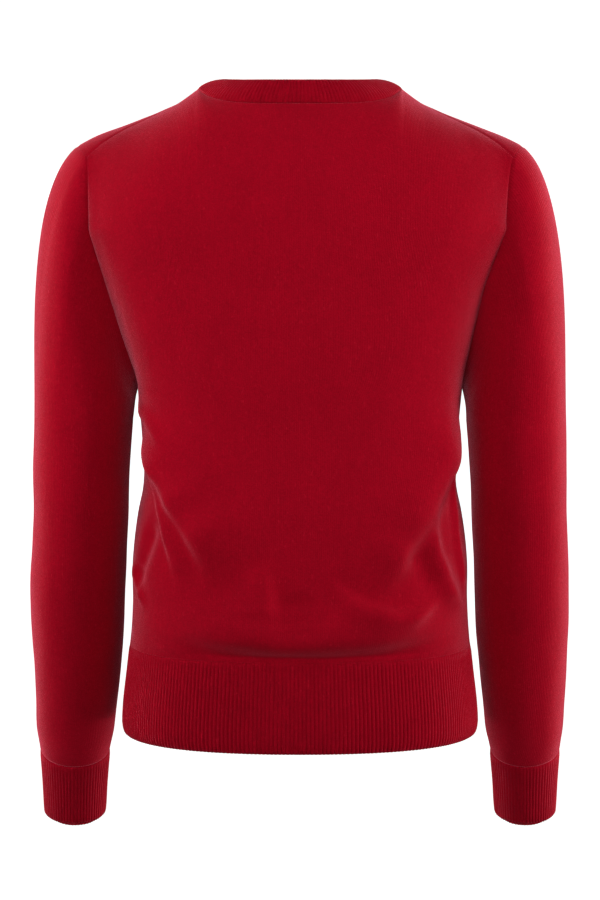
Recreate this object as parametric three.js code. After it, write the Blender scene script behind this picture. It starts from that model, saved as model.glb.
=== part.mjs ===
// Crewneck sweater in fine cashmere jersey with ribbed neckband, hem and cuffs.
// Millimetres, +Z up. The wearer faces +Y and the back of the sweater faces -Y.
// The origin is midway between the two high points of the shoulders.
import * as THREE from 'three';

// Walls and seams.
const JERSEY_WALL = 2.0;
const RIB_WALL = 2.4;
const RIB_RELIEF = 0.6;
const SEAM_GAP = 0.3;
const RIB_PITCH = 2.9;
const BAND_RIBS = 166;

// Heights of the main levels.
const HEM_Z = -564;
const HEM_SEAM_Z = -484;
const UNDERARM_Z = -258;
const YOKE_Z = -120;

// How much fuller than an ellipse the neckline is at the back and at the front.
const NAPE_FULLNESS = 0.05;
const NECK_FULLNESS = 0.12;

// Body sections. `half` is half the width, `back` and `front` the depths from the side seams
// and `full` how much fuller than an ellipse the section is.
const BODY = [
  { z: -564, half: 156.4, back: 96.5, front: 96.5, full: 0.055 },
  { z: -556, half: 158.0, back: 98.0, front: 98.0, full: 0.060 },
  { z: -536, half: 156.8, back: 98.5, front: 98.5, full: 0.065 },
  { z: -510, half: 153.6, back: 97.5, front: 97.5, full: 0.070 },
  { z: -484, half: 150.6, back: 96.0, front: 96.0, full: 0.075 },
  { z: -474, half: 149.6, back: 100.0, front: 100.0, full: 0.080 },
  { z: -460, half: 148.6, back: 103.6, front: 103.4, full: 0.085 },
  { z: -440, half: 147.6, back: 104.0, front: 103.8, full: 0.090 },
  { z: -415, half: 147.2, back: 102.0, front: 102.5, full: 0.100 },
  { z: -390, half: 145.0, back: 101.0, front: 102.0, full: 0.100 },
  { z: -365, half: 141.4, back: 100.0, front: 101.5, full: 0.100 },
  { z: -345, half: 137.4, back: 99.5, front: 101.5, full: 0.100 },
  { z: -325, half: 136.4, back: 99.5, front: 102.0, full: 0.100 },
  { z: -300, half: 138.0, back: 100.0, front: 103.5, full: 0.100 },
  { z: -275, half: 139.8, back: 101.0, front: 105.0, full: 0.100 },
  { z: -258, half: 141.6, back: 102.0, front: 106.0, full: 0.100 },
  { z: -220, half: 146.0, back: 103.5, front: 106.5, full: 0.100 },
  { z: -180, half: 150.0, back: 104.4, front: 103.2, full: 0.090 },
  { z: -150, half: 154.0, back: 104.3, front: 99.8, full: 0.080 },
  { z: -134, half: 157.0, back: 104.1, front: 98.4, full: 0.075 },
  { z: -120, half: 160.0, back: 103.8, front: 97.6, full: 0.070 },
];

// Armhole, from the underarm up to the yoke level. `left` and `right` are distances from the
// centre plane at the back, `deep` is how far behind the side seams the back edge lies.
const ARMHOLE_BACK = [
  { z: -258, left: 141.6, right: 141.6, deep: 0 },
  { z: -251, left: 142.4, right: 142.0, deep: 10 },
  { z: -241, left: 144.6, right: 143.2, deep: 18 },
  { z: -228, left: 148.4, right: 145.6, deep: 25 },
  { z: -210, left: 153.8, right: 149.0, deep: 31 },
  { z: -190, left: 159.4, right: 153.0, deep: 36 },
  { z: -168, left: 165.6, right: 158.0, deep: 41 },
  { z: -144, left: 172.6, right: 166.0, deep: 46 },
  { z: -120, left: 179.4, right: 175.0, deep: 50 },
];

const ARMHOLE_FRONT = [
  { z: -258, left: 141.6, right: 141.6, deep: 0 },
  { z: -251, left: 142.2, right: 142.2, deep: 10 },
  { z: -241, left: 143.8, right: 143.8, deep: 18 },
  { z: -228, left: 146.4, right: 146.4, deep: 25 },
  { z: -210, left: 150.4, right: 150.4, deep: 31 },
  { z: -190, left: 155.0, right: 155.0, deep: 36 },
  { z: -168, left: 160.6, right: 160.6, deep: 40 },
  { z: -144, left: 167.6, right: 167.6, deep: 43 },
  { z: -120, left: 174.4, right: 174.4, deep: 45 },
];

// Shoulder seam, set behind the crest of the shoulder. `crest` is the height of the crest
// in front of it.
const SHOULDER = [
  { x: 88, y: -4, z: 0, crest: 0.2 },
  { x: 104, y: -5, z: -11.4, crest: -11.0 },
  { x: 120, y: -7, z: -19.8, crest: -19.0 },
  { x: 136, y: -11, z: -27.6, crest: -25.8 },
  { x: 152, y: -19, z: -35.6, crest: -32.6 },
  { x: 168, y: -29, z: -46.0, crest: -40.0 },
  { x: 181.5, y: -38, z: -58.0, crest: -48.6 },
];

// Share of a panel's half width that is neckline, and the fullness of the shoulder tip.
const NECK_SHARE = 0.42;
const TIP_BULGE = 14;

// Neck seam and the upper edge of the neckband.
const NECK_HALF = 88;
const NECK_BACK_Y = -72;
const NECK_SIDE_Y = -4;
const NECK_FRONT_Y = 78;
const NECK_BACK_Z = -14;
const NECK_FRONT_Z = -78;
const BAND_HALF = 65;
const BAND_BACK_Y = -66;
const BAND_FRONT_Y = 67;
const BAND_BACK_Z = 6.4;
const BAND_SIDE_Z = 7.6;
const BAND_FRONT_Z = -60;
const BAND_ROLL = 2.2;

// Sleeve sections about the arm's axis. `x` and `y` place the axis, `wide` is the half width
// seen from behind and `thick` the half depth. Lengths run down the axis.
const SLEEVE = [
  { z: -286, x: 189.3, y: -6.0, wide: 43.6, thick: 50.0 },
  { z: -312, x: 190.6, y: -7.5, wide: 42.7, thick: 48.5 },
  { z: -340, x: 192.1, y: -8.0, wide: 42.0, thick: 47.0 },
  { z: -370, x: 193.1, y: -5.0, wide: 41.6, thick: 45.5 },
  { z: -400, x: 195.0, y: 0.0, wide: 41.8, thick: 44.5 },
  { z: -430, x: 197.0, y: 7.0, wide: 42.2, thick: 43.5 },
  { z: -460, x: 198.6, y: 15.0, wide: 41.9, thick: 42.0 },
  { z: -490, x: 199.9, y: 24.0, wide: 40.6, thick: 40.5 },
  { z: -520, x: 201.6, y: 33.5, wide: 38.9, thick: 39.0 },
  { z: -550, x: 203.8, y: 43.5, wide: 36.9, thick: 37.0 },
  { z: -575, x: 205.8, y: 52.5, wide: 35.2, thick: 35.0 },
  { z: -592, x: 206.9, y: 58.8, wide: 32.6, thick: 32.6 },
  { z: -602, x: 207.4, y: 62.6, wide: 31.6, thick: 31.2 },
  { z: -630, x: 208.9, y: 73.6, wide: 29.8, thick: 29.4 },
  { z: -655, x: 210.2, y: 83.5, wide: 28.8, thick: 28.4 },
  { z: -664, x: 210.7, y: 87.0, wide: 28.2, thick: 27.8 },
];
const CAP_END_Z = -286;
const CAP_REACH = { left: 0.7, right: 0.65 };
const CUFF_SEAM_Z = -597;
const CUFF_END_Z = -664;

// Folds of the body. `turn` is the angle round the body in degrees from its centre line,
// minus on the left, and each fold runs from `turn0`, `z0` to `turn1`, `z1`. `rise` is its
// height, minus for a trough. It falls away over a half width `above` it and one `below` it,
// and bows up by `bow` between its ends. `edge` is 2 for a soft fall below it, more for a brink.
const FOLDS = {
  back: [
    { turn0: -62, z0: -304, turn1: -25, z1: -396, rise: 9.0, above: 24, below: 12, bow: 9, edge: 3 },
    { turn0: -53, z0: -370, turn1: -64, z1: -424, rise: -4.0, above: 10, below: 10, bow: 0, edge: 2 },
    { turn0: 64, z0: -292, turn1: 23, z1: -411, rise: 11.0, above: 28, below: 20, bow: 8, edge: 3 },
    { turn0: 46, z0: -362, turn1: 62, z1: -452, rise: 5.5, above: 9, below: 10, bow: -13, edge: 2 },
    { turn0: 12, z0: -422, turn1: 44, z1: -441, rise: 4.4, above: 8, below: 13, bow: -9, edge: 2 },
    { turn0: -3, z0: -424, turn1: -1, z1: -464, rise: -3.6, above: 19, below: 19, bow: 0, edge: 2 },
    { turn0: -37, z0: -451, turn1: 45, z1: -449, rise: 5.5, above: 24, below: 15, bow: -11, edge: 3 },
    { turn0: -37, z0: -473, turn1: 45, z1: -471, rise: -3.0, above: 8, below: 9, bow: -10, edge: 2 },
  ],
  front: [
    { turn0: -62, z0: -300, turn1: -27, z1: -392, rise: 7.2, above: 22, below: 11, bow: 9, edge: 3 },
    { turn0: -52, z0: -376, turn1: -61, z1: -428, rise: -3.6, above: 10, below: 10, bow: 0, edge: 2 },
    { turn0: 63, z0: -300, turn1: 29, z1: -408, rise: 8.2, above: 24, below: 14, bow: 8, edge: 3 },
    { turn0: 48, z0: -370, turn1: 64, z1: -448, rise: 4.4, above: 9, below: 11, bow: -10, edge: 2 },
    { turn0: -43, z0: -438, turn1: -15, z1: -430, rise: 2.8, above: 10, below: 12, bow: -6, edge: 2 },
    { turn0: -39, z0: -449, turn1: 37, z1: -452, rise: 4.6, above: 22, below: 14, bow: -10, edge: 3 },
    { turn0: -41, z0: -472, turn1: 38, z1: -473, rise: -3.0, above: 8, below: 9, bow: -9, edge: 2 },
  ],
};

// Length round the body for one degree of turn, and the height over which folds die out
// above the hem seam.
const TURN_LENGTH = 2.2;
const FOLD_FADE = 7;

// Rows of a panel by height below the yoke, then by share of the yoke. Columns by share of
// the half width.
const PANEL_ROWS = [-484, -476, -464, -448, -430, -412, -394, -376, -358, -338, -312, -286, -265,
  -258, -250, -238, -218, -192, -165, -142, -120];
const BACK_YOKE_ROWS = [0.25, 0.5, 0.75, 0.94, 1];
const FRONT_YOKE_ROWS = [0.17, 0.34, 0.5, 0.66, 0.81, 0.95, 1];
const PANEL_COLUMNS = [0, 0.07, 0.14, 0.21, 0.28, 0.35, 0.42, 0.5, 0.58, 0.66, 0.74, 0.82, 0.9,
  0.97, 1];

// Rings of a sleeve by share of its cap, then by height.
const CAP_ROWS = [0, 0.05, 0.16, 0.3, 0.46, 0.64, 0.82, 1];
const SLEEVE_ROWS = [-312, -340, -370, -400, -430, -460, -490, -520, -550, -575, -592, -597];
const CUFF_ROWS = [-597, -664];
const HEM_ROWS = [-564, -540, -484];
const BAND_ROWS = [0, 0.35, 1];

const clamp = (t, low, high) => Math.min(high, Math.max(low, t));
const lerp = (a, b, t) => a + (b - a) * t;
const ease = (t) => t * t * (3 - 2 * t);
const add = (a, b, k = 1) => [a[0] + b[0] * k, a[1] + b[1] * k, a[2] + b[2] * k];
const sub = (a, b) => add(a, b, -1);
const dot = (a, b) => a[0] * b[0] + a[1] * b[1] + a[2] * b[2];
const cross = (a, b) => [
  a[1] * b[2] - a[2] * b[1],
  a[2] * b[0] - a[0] * b[2],
  a[0] * b[1] - a[1] * b[0],
];
const length = (a) => Math.sqrt(dot(a, a));
const unit = (a) => {
  const size = length(a) || 1;
  return [a[0] / size, a[1] / size, a[2] / size];
};
const mix = (a, b, t) => add(a, sub(b, a), t);

// Value of a column of a table at a given key, through a smooth curve.
function read(table, key, column, at) {
  const rising = table[1][key] > table[0][key];
  const value = rising ? at : -at;
  const keys = table.map((row) => (rising ? row[key] : -row[key]));
  const last = table.length - 1;
  const x = clamp(value, keys[0], keys[last]);
  let i = 0;
  while (i < last - 1 && x > keys[i + 1]) i += 1;
  const slope = (k) => {
    const low = Math.max(0, k - 1);
    const high = Math.min(last, k + 1);
    return (table[high][column] - table[low][column]) / (keys[high] - keys[low]);
  };
  const h = keys[i + 1] - keys[i];
  const t = (x - keys[i]) / h;
  const a = table[i][column];
  const b = table[i + 1][column];
  return a * (1 + 2 * t) * (1 - t) ** 2 + b * t * t * (3 - 2 * t)
    + slope(i) * h * t * (1 - t) ** 2 - slope(i + 1) * h * t * t * (1 - t);
}

// Swelling of a section between its axes.
const swell = (angle, full) => 1 + full * Math.sin(2 * angle) ** 2;

// Height of the folds at an angle round the body and a level.
function foldRise(side, angle, z) {
  const turn = angle * 180 / Math.PI;
  let rise = 0;
  for (const fold of FOLDS[side]) {
    const du = (fold.turn1 - fold.turn0) * TURN_LENGTH;
    const dz = fold.z1 - fold.z0;
    const pu = (turn - fold.turn0) * TURN_LENGTH;
    const pz = z - fold.z0;
    const along = (pu * du + pz * dz) / (du * du + dz * dz);
    if (along < -0.2 || along > 1.2) continue;
    const off = (pu * dz - pz * du) / Math.hypot(du, dz) * Math.sign(du);
    const under = off + fold.bow * 4 * along * (1 - along);
    const width = under > 0 ? fold.below : fold.above;
    const fade = ease(clamp((along + 0.2) / 0.45, 0, 1)) * ease(clamp((1.2 - along) / 0.45, 0, 1));
    const edge = under > 0 ? fold.edge : 2;
    rise += fold.rise * fade * Math.exp(-(Math.abs(under / width) ** edge));
  }
  return rise * ease(clamp((z - HEM_SEAM_Z) / FOLD_FADE, 0, 1));
}

// Edge of a panel at a level: the side seam below the underarm and the armhole above it.
function panelEdge(side, hand, z) {
  if (z <= UNDERARM_Z) return { x: read(BODY, 'z', 'half', z), deep: 0 };
  const table = side === 'back' ? ARMHOLE_BACK : ARMHOLE_FRONT;
  return { x: read(table, 'z', hand, z), deep: read(table, 'z', 'deep', z) };
}

// Point of the body below the yoke. `share` runs from -1 at the left edge to 1 at the right.
function bodyPoint(side, share, z) {
  const depth = read(BODY, 'z', side, z);
  const full = read(BODY, 'z', 'full', z);
  const edge = panelEdge(side, share < 0 ? 'left' : 'right', z);
  let low = Math.PI / 4;
  let high = Math.PI / 2;
  for (let k = 0; k < 40; k += 1) {
    const middle = (low + high) / 2;
    if (depth * Math.cos(middle) * swell(middle, full) > edge.deep) low = middle;
    else high = middle;
  }
  const end = edge.deep > 0 ? high : Math.PI / 2;
  const width = edge.x / (Math.sin(end) * swell(end, full));
  const angle = share * end;
  const facing = side === 'back' ? -1 : 1;
  const rise = foldRise(side, angle, z) * (1 - Math.abs(share) ** 12);
  const out = unit([Math.sin(angle) / width, facing * Math.cos(angle) / depth, 0]);
  const x = width * Math.sin(angle) * swell(angle, full);
  const y = facing * depth * Math.cos(angle) * swell(angle, full);
  return add([x, y, z], out, rise);
}

// Neck seam and neckband edge by angle: 0 at the centre, a right angle at the shoulder.
function neckSeam(side, angle) {
  const back = side === 'back';
  const full = swell(angle, back ? NAPE_FULLNESS : NECK_FULLNESS);
  const s = Math.abs(Math.sin(angle));
  const c = Math.cos(angle) * full;
  const y = lerp(NECK_SIDE_Y, back ? NECK_BACK_Y : NECK_FRONT_Y, c);
  const z = back ? NECK_BACK_Z * (1 - s ** 4.5) : NECK_FRONT_Z * Math.max(0, c) ** 2.6;
  return [NECK_HALF * Math.sin(angle) * full, y, z];
}

function bandEdge(side, angle) {
  const back = side === 'back';
  const full = swell(angle, back ? NAPE_FULLNESS : NECK_FULLNESS);
  const c = Math.cos(angle) * full;
  const y = lerp(NECK_SIDE_Y + 2, back ? BAND_BACK_Y : BAND_FRONT_Y, c);
  const share = back ? Math.cos(angle) ** 2 : Math.max(0, c) ** 2.4;
  const z = lerp(BAND_SIDE_Z, back ? BAND_BACK_Z : BAND_FRONT_Z, share);
  return [BAND_HALF * Math.sin(angle) * full, y, z];
}

// Outward direction along the neck seam, shared by the panels and the band.
function neckNormal(side, angle) {
  const c = Math.cos(angle) ** 2;
  const flat = 0.45 + (side === 'back' ? 0.45 : 0.35) * c;
  const facing = side === 'back' ? -1 : 1;
  const up = Math.sqrt(1 - flat * flat);
  return [Math.sin(angle) * flat, facing * Math.cos(angle) * flat, up];
}

// Upper edge of a panel: half the neckline, then the shoulder seam.
function panelTop(side, share) {
  const reach = Math.abs(share);
  const sign = share < 0 ? -1 : 1;
  if (reach <= NECK_SHARE) {
    const angle = share / NECK_SHARE * Math.PI / 2;
    const point = neckSeam(side, angle);
    return { point, crest: point[2] };
  }
  const x = lerp(NECK_HALF, 181.5, (reach - NECK_SHARE) / (1 - NECK_SHARE));
  const y = read(SHOULDER, 'x', 'y', x);
  const z = read(SHOULDER, 'x', 'z', x);
  return { point: [sign * x, y, z], crest: read(SHOULDER, 'x', 'crest', x) };
}

// Point of the yoke. `rise` runs from 0 at the yoke level to 1 at the upper edge.
function yokePoint(side, share, rise) {
  const reach = Math.abs(share);
  const base = bodyPoint(side, share, YOKE_Z);
  const top = panelTop(side, share);
  const past = clamp((reach - NECK_SHARE) / (1 - NECK_SHARE), 0, 1);
  const flat = side === 'back' ? 86 : 80;
  let sweep = lerp(50, flat, ease(clamp(reach / NECK_SHARE, 0, 1)));
  if (side === 'back') {
    sweep = lerp(sweep, 74, past);
  } else if (past > 0) {
    const ratio = (top.point[2] - YOKE_Z) / (top.crest - YOKE_Z);
    sweep = 180 - Math.asin(clamp(ratio, 0, 1)) * 180 / Math.PI;
    sweep = lerp(flat, sweep, ease(clamp(past / 0.3, 0, 1)));
  }
  const end = sweep * Math.PI / 180;
  const angle = end * rise;
  const forth = (1 - Math.cos(angle)) / (1 - Math.cos(end));
  const bulge = side === 'front' ? TIP_BULGE * 4 * forth * (1 - forth) * past ** 3 : 0;
  const x = lerp(base[0], top.point[0], forth) + Math.sign(share) * bulge;
  const y = lerp(base[1], top.point[1], forth);
  const z = YOKE_Z + (top.point[2] - YOKE_Z) * Math.sin(angle) / Math.sin(end);
  return [x, y, z];
}

// Grid of a panel's outer points, row by row from the hem seam to the upper edge.
function panelGrid(side) {
  const shares = [];
  for (let k = PANEL_COLUMNS.length - 1; k > 0; k -= 1) shares.push(-PANEL_COLUMNS[k]);
  shares.push(...PANEL_COLUMNS);
  const yoke = side === 'back' ? BACK_YOKE_ROWS : FRONT_YOKE_ROWS;
  const rows = PANEL_ROWS.map((z) => shares.map((share) => bodyPoint(side, share, z)));
  yoke.forEach((rise) => rows.push(shares.map((share) => yokePoint(side, share, rise))));
  return { rows, shares };
}

// Outward normals of a grid. `closed` joins the ends of each row.
function gridNormals(rows, closed, outward) {
  const count = rows[0].length;
  return rows.map((row, j) => row.map((point, i) => {
    const left = closed ? row[(i + count - 1) % count] : row[Math.max(0, i - 1)];
    const right = closed ? row[(i + 1) % count] : row[Math.min(count - 1, i + 1)];
    const below = rows[Math.max(0, j - 1)][i];
    const above = rows[Math.min(rows.length - 1, j + 1)][i];
    return unit(cross(sub(right, left), sub(above, below)).map((value) => value * outward));
  }));
}

// Triangles of a wall between an outer and an inner grid, which may differ in their counts.
// `outerAt` and `innerAt` are where their columns stand along a row, evenly if not given.
function wallMesh(outer, inner, closed, outerAt, innerAt) {
  const positions = [];
  const put = (...points) => points.forEach((point) => positions.push(...point));
  const sheet = (rows, flip) => {
    for (let j = 0; j < rows.length - 1; j += 1) {
      const count = rows[j].length;
      for (let i = 0; i < (closed ? count : count - 1); i += 1) {
        const a = rows[j][i];
        const b = rows[j][(i + 1) % count];
        const c = rows[j + 1][(i + 1) % count];
        const d = rows[j + 1][i];
        const across = length(sub(a, c)) <= length(sub(b, d));
        const pair = across ? [[a, b, c], [a, c, d]] : [[a, b, d], [b, c, d]];
        pair.forEach(([p, q, r]) => (flip ? put(p, r, q) : put(p, q, r)));
      }
    }
  };
  // Joins two lines that run side by side, by their shares of the whole.
  const zip = (first, second, ring, flip, firstAt, secondAt) => {
    const m = ring ? first.length : first.length - 1;
    const n = ring ? second.length : second.length - 1;
    const from = firstAt ?? first.map((point, step) => step / m);
    const to = secondAt ?? second.map((point, step) => step / n);
    const middle = (at, step) => (at[step] + (at[step + 1] ?? 1)) / 2;
    let i = 0;
    let k = 0;
    while (i < m || k < n) {
      const forward = k >= n || (i < m && middle(from, i) <= middle(to, k));
      const p = first[i % first.length];
      const q = second[k % second.length];
      const r = forward ? first[(i + 1) % first.length] : second[(k + 1) % second.length];
      if (flip) put(p, r, q);
      else put(p, q, r);
      if (forward) i += 1;
      else k += 1;
    }
  };
  sheet(outer, false);
  sheet(inner, true);
  zip(outer[0], inner[0], closed, false, outerAt, innerAt);
  zip(outer[outer.length - 1], inner[inner.length - 1], closed, true, outerAt, innerAt);
  if (!closed) {
    zip(outer.map((row) => row[0]), inner.map((row) => row[0]), false, true);
    zip(outer.map((row) => row[row.length - 1]), inner.map((row) => row[row.length - 1]), false, false);
  }
  let volume = 0;
  for (let k = 0; k < positions.length; k += 9) {
    const a = positions.slice(k, k + 3);
    const b = positions.slice(k + 3, k + 6);
    const c = positions.slice(k + 6, k + 9);
    volume += dot(a, cross(b, c)) / 6;
  }
  if (volume < 0) {
    for (let k = 0; k < positions.length; k += 9) {
      const swap = positions.slice(k + 3, k + 6);
      for (let m = 0; m < 3; m += 1) {
        positions[k + 3 + m] = positions[k + 6 + m];
        positions[k + 6 + m] = swap[m];
      }
    }
  }
  return positions;
}

const group = new THREE.Group();
group.name = 'crewneck_sweater';

function addPart(name, positions, colour) {
  const geometry = new THREE.BufferGeometry();
  geometry.setAttribute('position', new THREE.Float32BufferAttribute(positions, 3));
  geometry.computeVertexNormals();
  const material = new THREE.MeshStandardMaterial({ color: colour, roughness: 0.9 });
  material.name = `${name}_knit`;
  const mesh = new THREE.Mesh(geometry, material);
  mesh.name = name;
  group.add(mesh);
}

// Half of the seam gap, taken across the seam and away from the neighbour.
function seamShift(tangent, normal, toward) {
  const across = unit(cross(tangent, normal));
  return dot(across, toward) < 0 ? across.map((value) => -value) : across;
}

const backGrid = panelGrid('back');
const frontGrid = panelGrid('front');
const backNormals = gridNormals(backGrid.rows, false, 1);
const frontNormals = gridNormals(frontGrid.rows, false, -1);
const underarmRow = PANEL_ROWS.indexOf(UNDERARM_Z);
const lastColumn = backGrid.shares.length - 1;

// Closed armhole of one side, from the underarm up the back and down the front.
function armholeLoop(hand) {
  const column = hand === 'left' ? 0 : lastColumn;
  const up = backGrid.rows.slice(underarmRow).map((row) => row[column]);
  const down = frontGrid.rows.slice(underarmRow + 1, -1).map((row) => row[column]).reverse();
  const points = [...up, ...down];
  const count = points.length;
  const lengths = [0];
  for (let i = 1; i <= count; i += 1) {
    lengths.push(lengths[i - 1] + length(sub(points[i % count], points[i - 1])));
  }
  const middle = points.reduce((sum, point) => add(sum, point, 1 / count), [0, 0, 0]);
  const frames = points.map((point, i) => {
    const tangent = unit(sub(points[(i + 1) % count], points[(i + count - 1) % count]));
    const radial = sub(point, middle);
    const normal = unit(add(radial, tangent, -dot(radial, tangent)));
    return { normal, across: seamShift(tangent, normal, [point[0], 0, 0]) };
  });
  return { points, frames, shares: lengths.slice(0, count).map((part) => part / lengths[count]) };
}

const armholes = { left: armholeLoop('left'), right: armholeLoop('right') };

// Inner offset along a seam that keeps the wall's thickness.
const seamDepth = (wall, normal, own) => wall / clamp(dot(normal, own), 0.7, 1);

// Shifts the edges of a panel for its seams and gives its two skins.
function panelWall(side) {
  const { rows, shares } = side === 'back' ? backGrid : frontGrid;
  const normals = side === 'back' ? backNormals : frontNormals;
  const facing = side === 'back' ? -1 : 1;
  const top = rows.length - 1;
  const half = SEAM_GAP / 2;
  const outer = [];
  const inner = [];
  rows.forEach((row, j) => {
    const outerRow = [];
    const innerRow = [];
    row.forEach((point, i) => {
      const edge = i === 0 || i === lastColumn;
      let normal = normals[j][i];
      let shift = [0, 0, 0];
      if (j === 0) {
        normal = edge ? [Math.sign(point[0]), 0, 0] : unit([normal[0], normal[1], 0]);
        shift = add(shift, [0, 0, 1]);
      }
      if (edge && j <= underarmRow) {
        if (j > 0) normal = [Math.sign(point[0]), 0, 0];
        shift = add(shift, [0, facing, 0]);
      }
      if (j === top) {
        if (Math.abs(shares[i]) <= NECK_SHARE) {
          const angle = shares[i] / NECK_SHARE * Math.PI / 2;
          normal = neckNormal(side, angle);
          const tangent = sub(neckSeam(side, angle + 0.01), neckSeam(side, angle - 0.01));
          shift = add(shift, seamShift(tangent, normal, sub(rows[j - 1][i], point)));
        }
        if (Math.abs(shares[i]) >= NECK_SHARE - 1e-6) {
          const here = Math.abs(shares[i]) <= NECK_SHARE + 1e-6;
          const backTop = backNormals[backNormals.length - 1][i];
          const frontTop = frontNormals[frontNormals.length - 1][i];
          if (!here) normal = unit(add(backTop, frontTop));
          const tangent = sub(row[Math.min(lastColumn, i + 1)], row[Math.max(0, i - 1)]);
          shift = add(shift, seamShift(tangent, normal, [0, facing, 0]));
        }
      }
      if (edge && j >= underarmRow) {
        const hand = i === 0 ? 'left' : 'right';
        const loop = armholes[hand];
        const index = side === 'back' ? j - underarmRow : loop.points.length - (j - underarmRow);
        const at = j === underarmRow ? 0 : index;
        const cornerIndex = backGrid.rows.length - 1 - underarmRow;
        const frame = loop.frames[j === top ? cornerIndex : at];
        normal = frame.normal;
        shift = add(shift, frame.across, -1);
      }
      const moved = add(point, shift, half);
      outerRow.push(moved);
      innerRow.push(add(moved, normal, -seamDepth(JERSEY_WALL, normal, normals[j][i])));
    });
    outer.push(outerRow);
    inner.push(innerRow);
  });
  return { outer, inner };
}

// Ring of the sleeve at a level. `share` runs once round from the side next to the body.
function sleeveRing(hand, z, share) {
  const sign = hand === 'left' ? -1 : 1;
  const step = 4;
  const centre = (level) => [
    sign * read(SLEEVE, 'z', 'x', level),
    read(SLEEVE, 'z', 'y', level),
    level,
  ];
  const axis = unit(sub(centre(z - step), centre(z + step)));
  const across = unit(add([sign, 0, 0], axis, -axis[0] * sign));
  const toBack = unit(cross(across, axis)).map((value) => -value * sign);
  const angle = share * 2 * Math.PI;
  const wide = read(SLEEVE, 'z', 'wide', z);
  const thick = read(SLEEVE, 'z', 'thick', z);
  const radial = add(
    across.map((value) => -value * wide * Math.cos(angle)),
    toBack,
    thick * Math.sin(angle),
  );
  return { point: add(centre(z), radial), radial: unit(radial), axis };
}

// Direction in which the sleeve leaves the armhole.
function capLeave(hand, share) {
  const sign = hand === 'left' ? -1 : 1;
  const turn = share * 2 * Math.PI;
  const top = (1 - Math.cos(turn)) / 2;
  const side = Math.sin(turn) ** 2;
  const toBack = -Math.sin(turn);
  const x = sign * lerp(0.35, 0.78, top);
  return unit([x, toBack * 0.35 * side ** 0.5, -lerp(0.9, 0.62, top)]);
}

// Point of the sleeve cap between the armhole and the first full ring.
function capPoint(hand, start, share, rise) {
  const ring = sleeveRing(hand, CAP_END_Z, share);
  const reach = length(sub(ring.point, start));
  const leave = capLeave(hand, share).map((value) => value * reach * CAP_REACH[hand]);
  const arrive = ring.axis.map((value) => value * reach * 0.95);
  const t = rise;
  let point = start.map((value) => value * (1 + 2 * t) * (1 - t) ** 2);
  point = add(point, ring.point, t * t * (3 - 2 * t));
  point = add(point, leave, t * (1 - t) ** 2);
  return add(point, arrive, -t * t * (1 - t));
}

function sleeveWall(hand) {
  const loop = armholes[hand];
  const half = SEAM_GAP / 2;
  const rows = CAP_ROWS.map((rise) => (
    loop.points.map((start, i) => capPoint(hand, start, loop.shares[i], rise))
  ));
  SLEEVE_ROWS.forEach((z) => {
    rows.push(loop.shares.map((share) => sleeveRing(hand, z, share).point));
  });
  const normals = gridNormals(rows, true, hand === 'left' ? 1 : -1);
  const last = rows.length - 1;
  const outer = [];
  const inner = [];
  rows.forEach((row, j) => {
    const outerRow = [];
    const innerRow = [];
    row.forEach((point, i) => {
      let normal = normals[j][i];
      let shift = [0, 0, 0];
      if (j === 0) {
        normal = loop.frames[i].normal;
        shift = loop.frames[i].across;
      }
      if (j === last) {
        const ring = sleeveRing(hand, CUFF_SEAM_Z, loop.shares[i]);
        normal = ring.radial;
        shift = ring.axis.map((value) => -value);
      }
      const moved = add(point, shift, half);
      outerRow.push(moved);
      innerRow.push(add(moved, normal, -seamDepth(JERSEY_WALL, normal, normals[j][i])));
    });
    outer.push(outerRow);
    inner.push(innerRow);
  });
  return wallMesh(outer, inner, true);
}

// Height of a rib at a step: every second point stands proud.
const ribRelief = (step) => (step % 2 === 0 ? 0 : RIB_RELIEF);

function cuffWall(hand) {
  const round = 2 * Math.PI * 30.4;
  const ribs = Math.round(round / RIB_PITCH);
  const half = SEAM_GAP / 2;
  const coarse = 24;
  const place = (z, share, depth) => {
    const ring = sleeveRing(hand, z, share);
    const seam = z === CUFF_SEAM_Z ? half : 0;
    return add(add(ring.point, ring.axis, seam), ring.radial, depth);
  };
  const outer = CUFF_ROWS.map((z) => {
    const row = [];
    for (let k = 0; k < 2 * ribs; k += 1) row.push(place(z, k / (2 * ribs), ribRelief(k)));
    return row;
  });
  const inner = CUFF_ROWS.map((z) => {
    const row = [];
    for (let k = 0; k < coarse; k += 1) row.push(place(z, k / coarse, -RIB_WALL));
    return row;
  });
  return wallMesh(outer, inner, true);
}

function hemWall(side) {
  const facing = side === 'back' ? -1 : 1;
  const ribs = Math.round(415 / RIB_PITCH);
  const half = SEAM_GAP / 2;
  const coarse = 28;
  const place = (z, share, depth) => {
    const width = read(BODY, 'z', 'half', z);
    const reach = read(BODY, 'z', side, z);
    const full = read(BODY, 'z', 'full', z);
    const angle = share * Math.PI / 2;
    const out = unit([Math.sin(angle) / width, facing * Math.cos(angle) / reach, 0]);
    const x = width * Math.sin(angle) * swell(angle, full);
    const y = facing * reach * Math.cos(angle) * swell(angle, full);
    const edge = Math.abs(share) === 1 ? half * facing : 0;
    const seam = z === HEM_SEAM_Z ? -half : 0;
    return add([x, y + edge, z + seam], out, depth);
  };
  const outer = HEM_ROWS.map((z) => {
    const row = [];
    for (let k = 0; k <= 2 * ribs; k += 1) row.push(place(z, k / ribs - 1, ribRelief(k)));
    return row;
  });
  const inner = HEM_ROWS.map((z) => {
    const row = [];
    for (let k = 0; k <= coarse; k += 1) row.push(place(z, 2 * k / coarse - 1, -RIB_WALL));
    return row;
  });
  return wallMesh(outer, inner, false);
}

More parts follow.
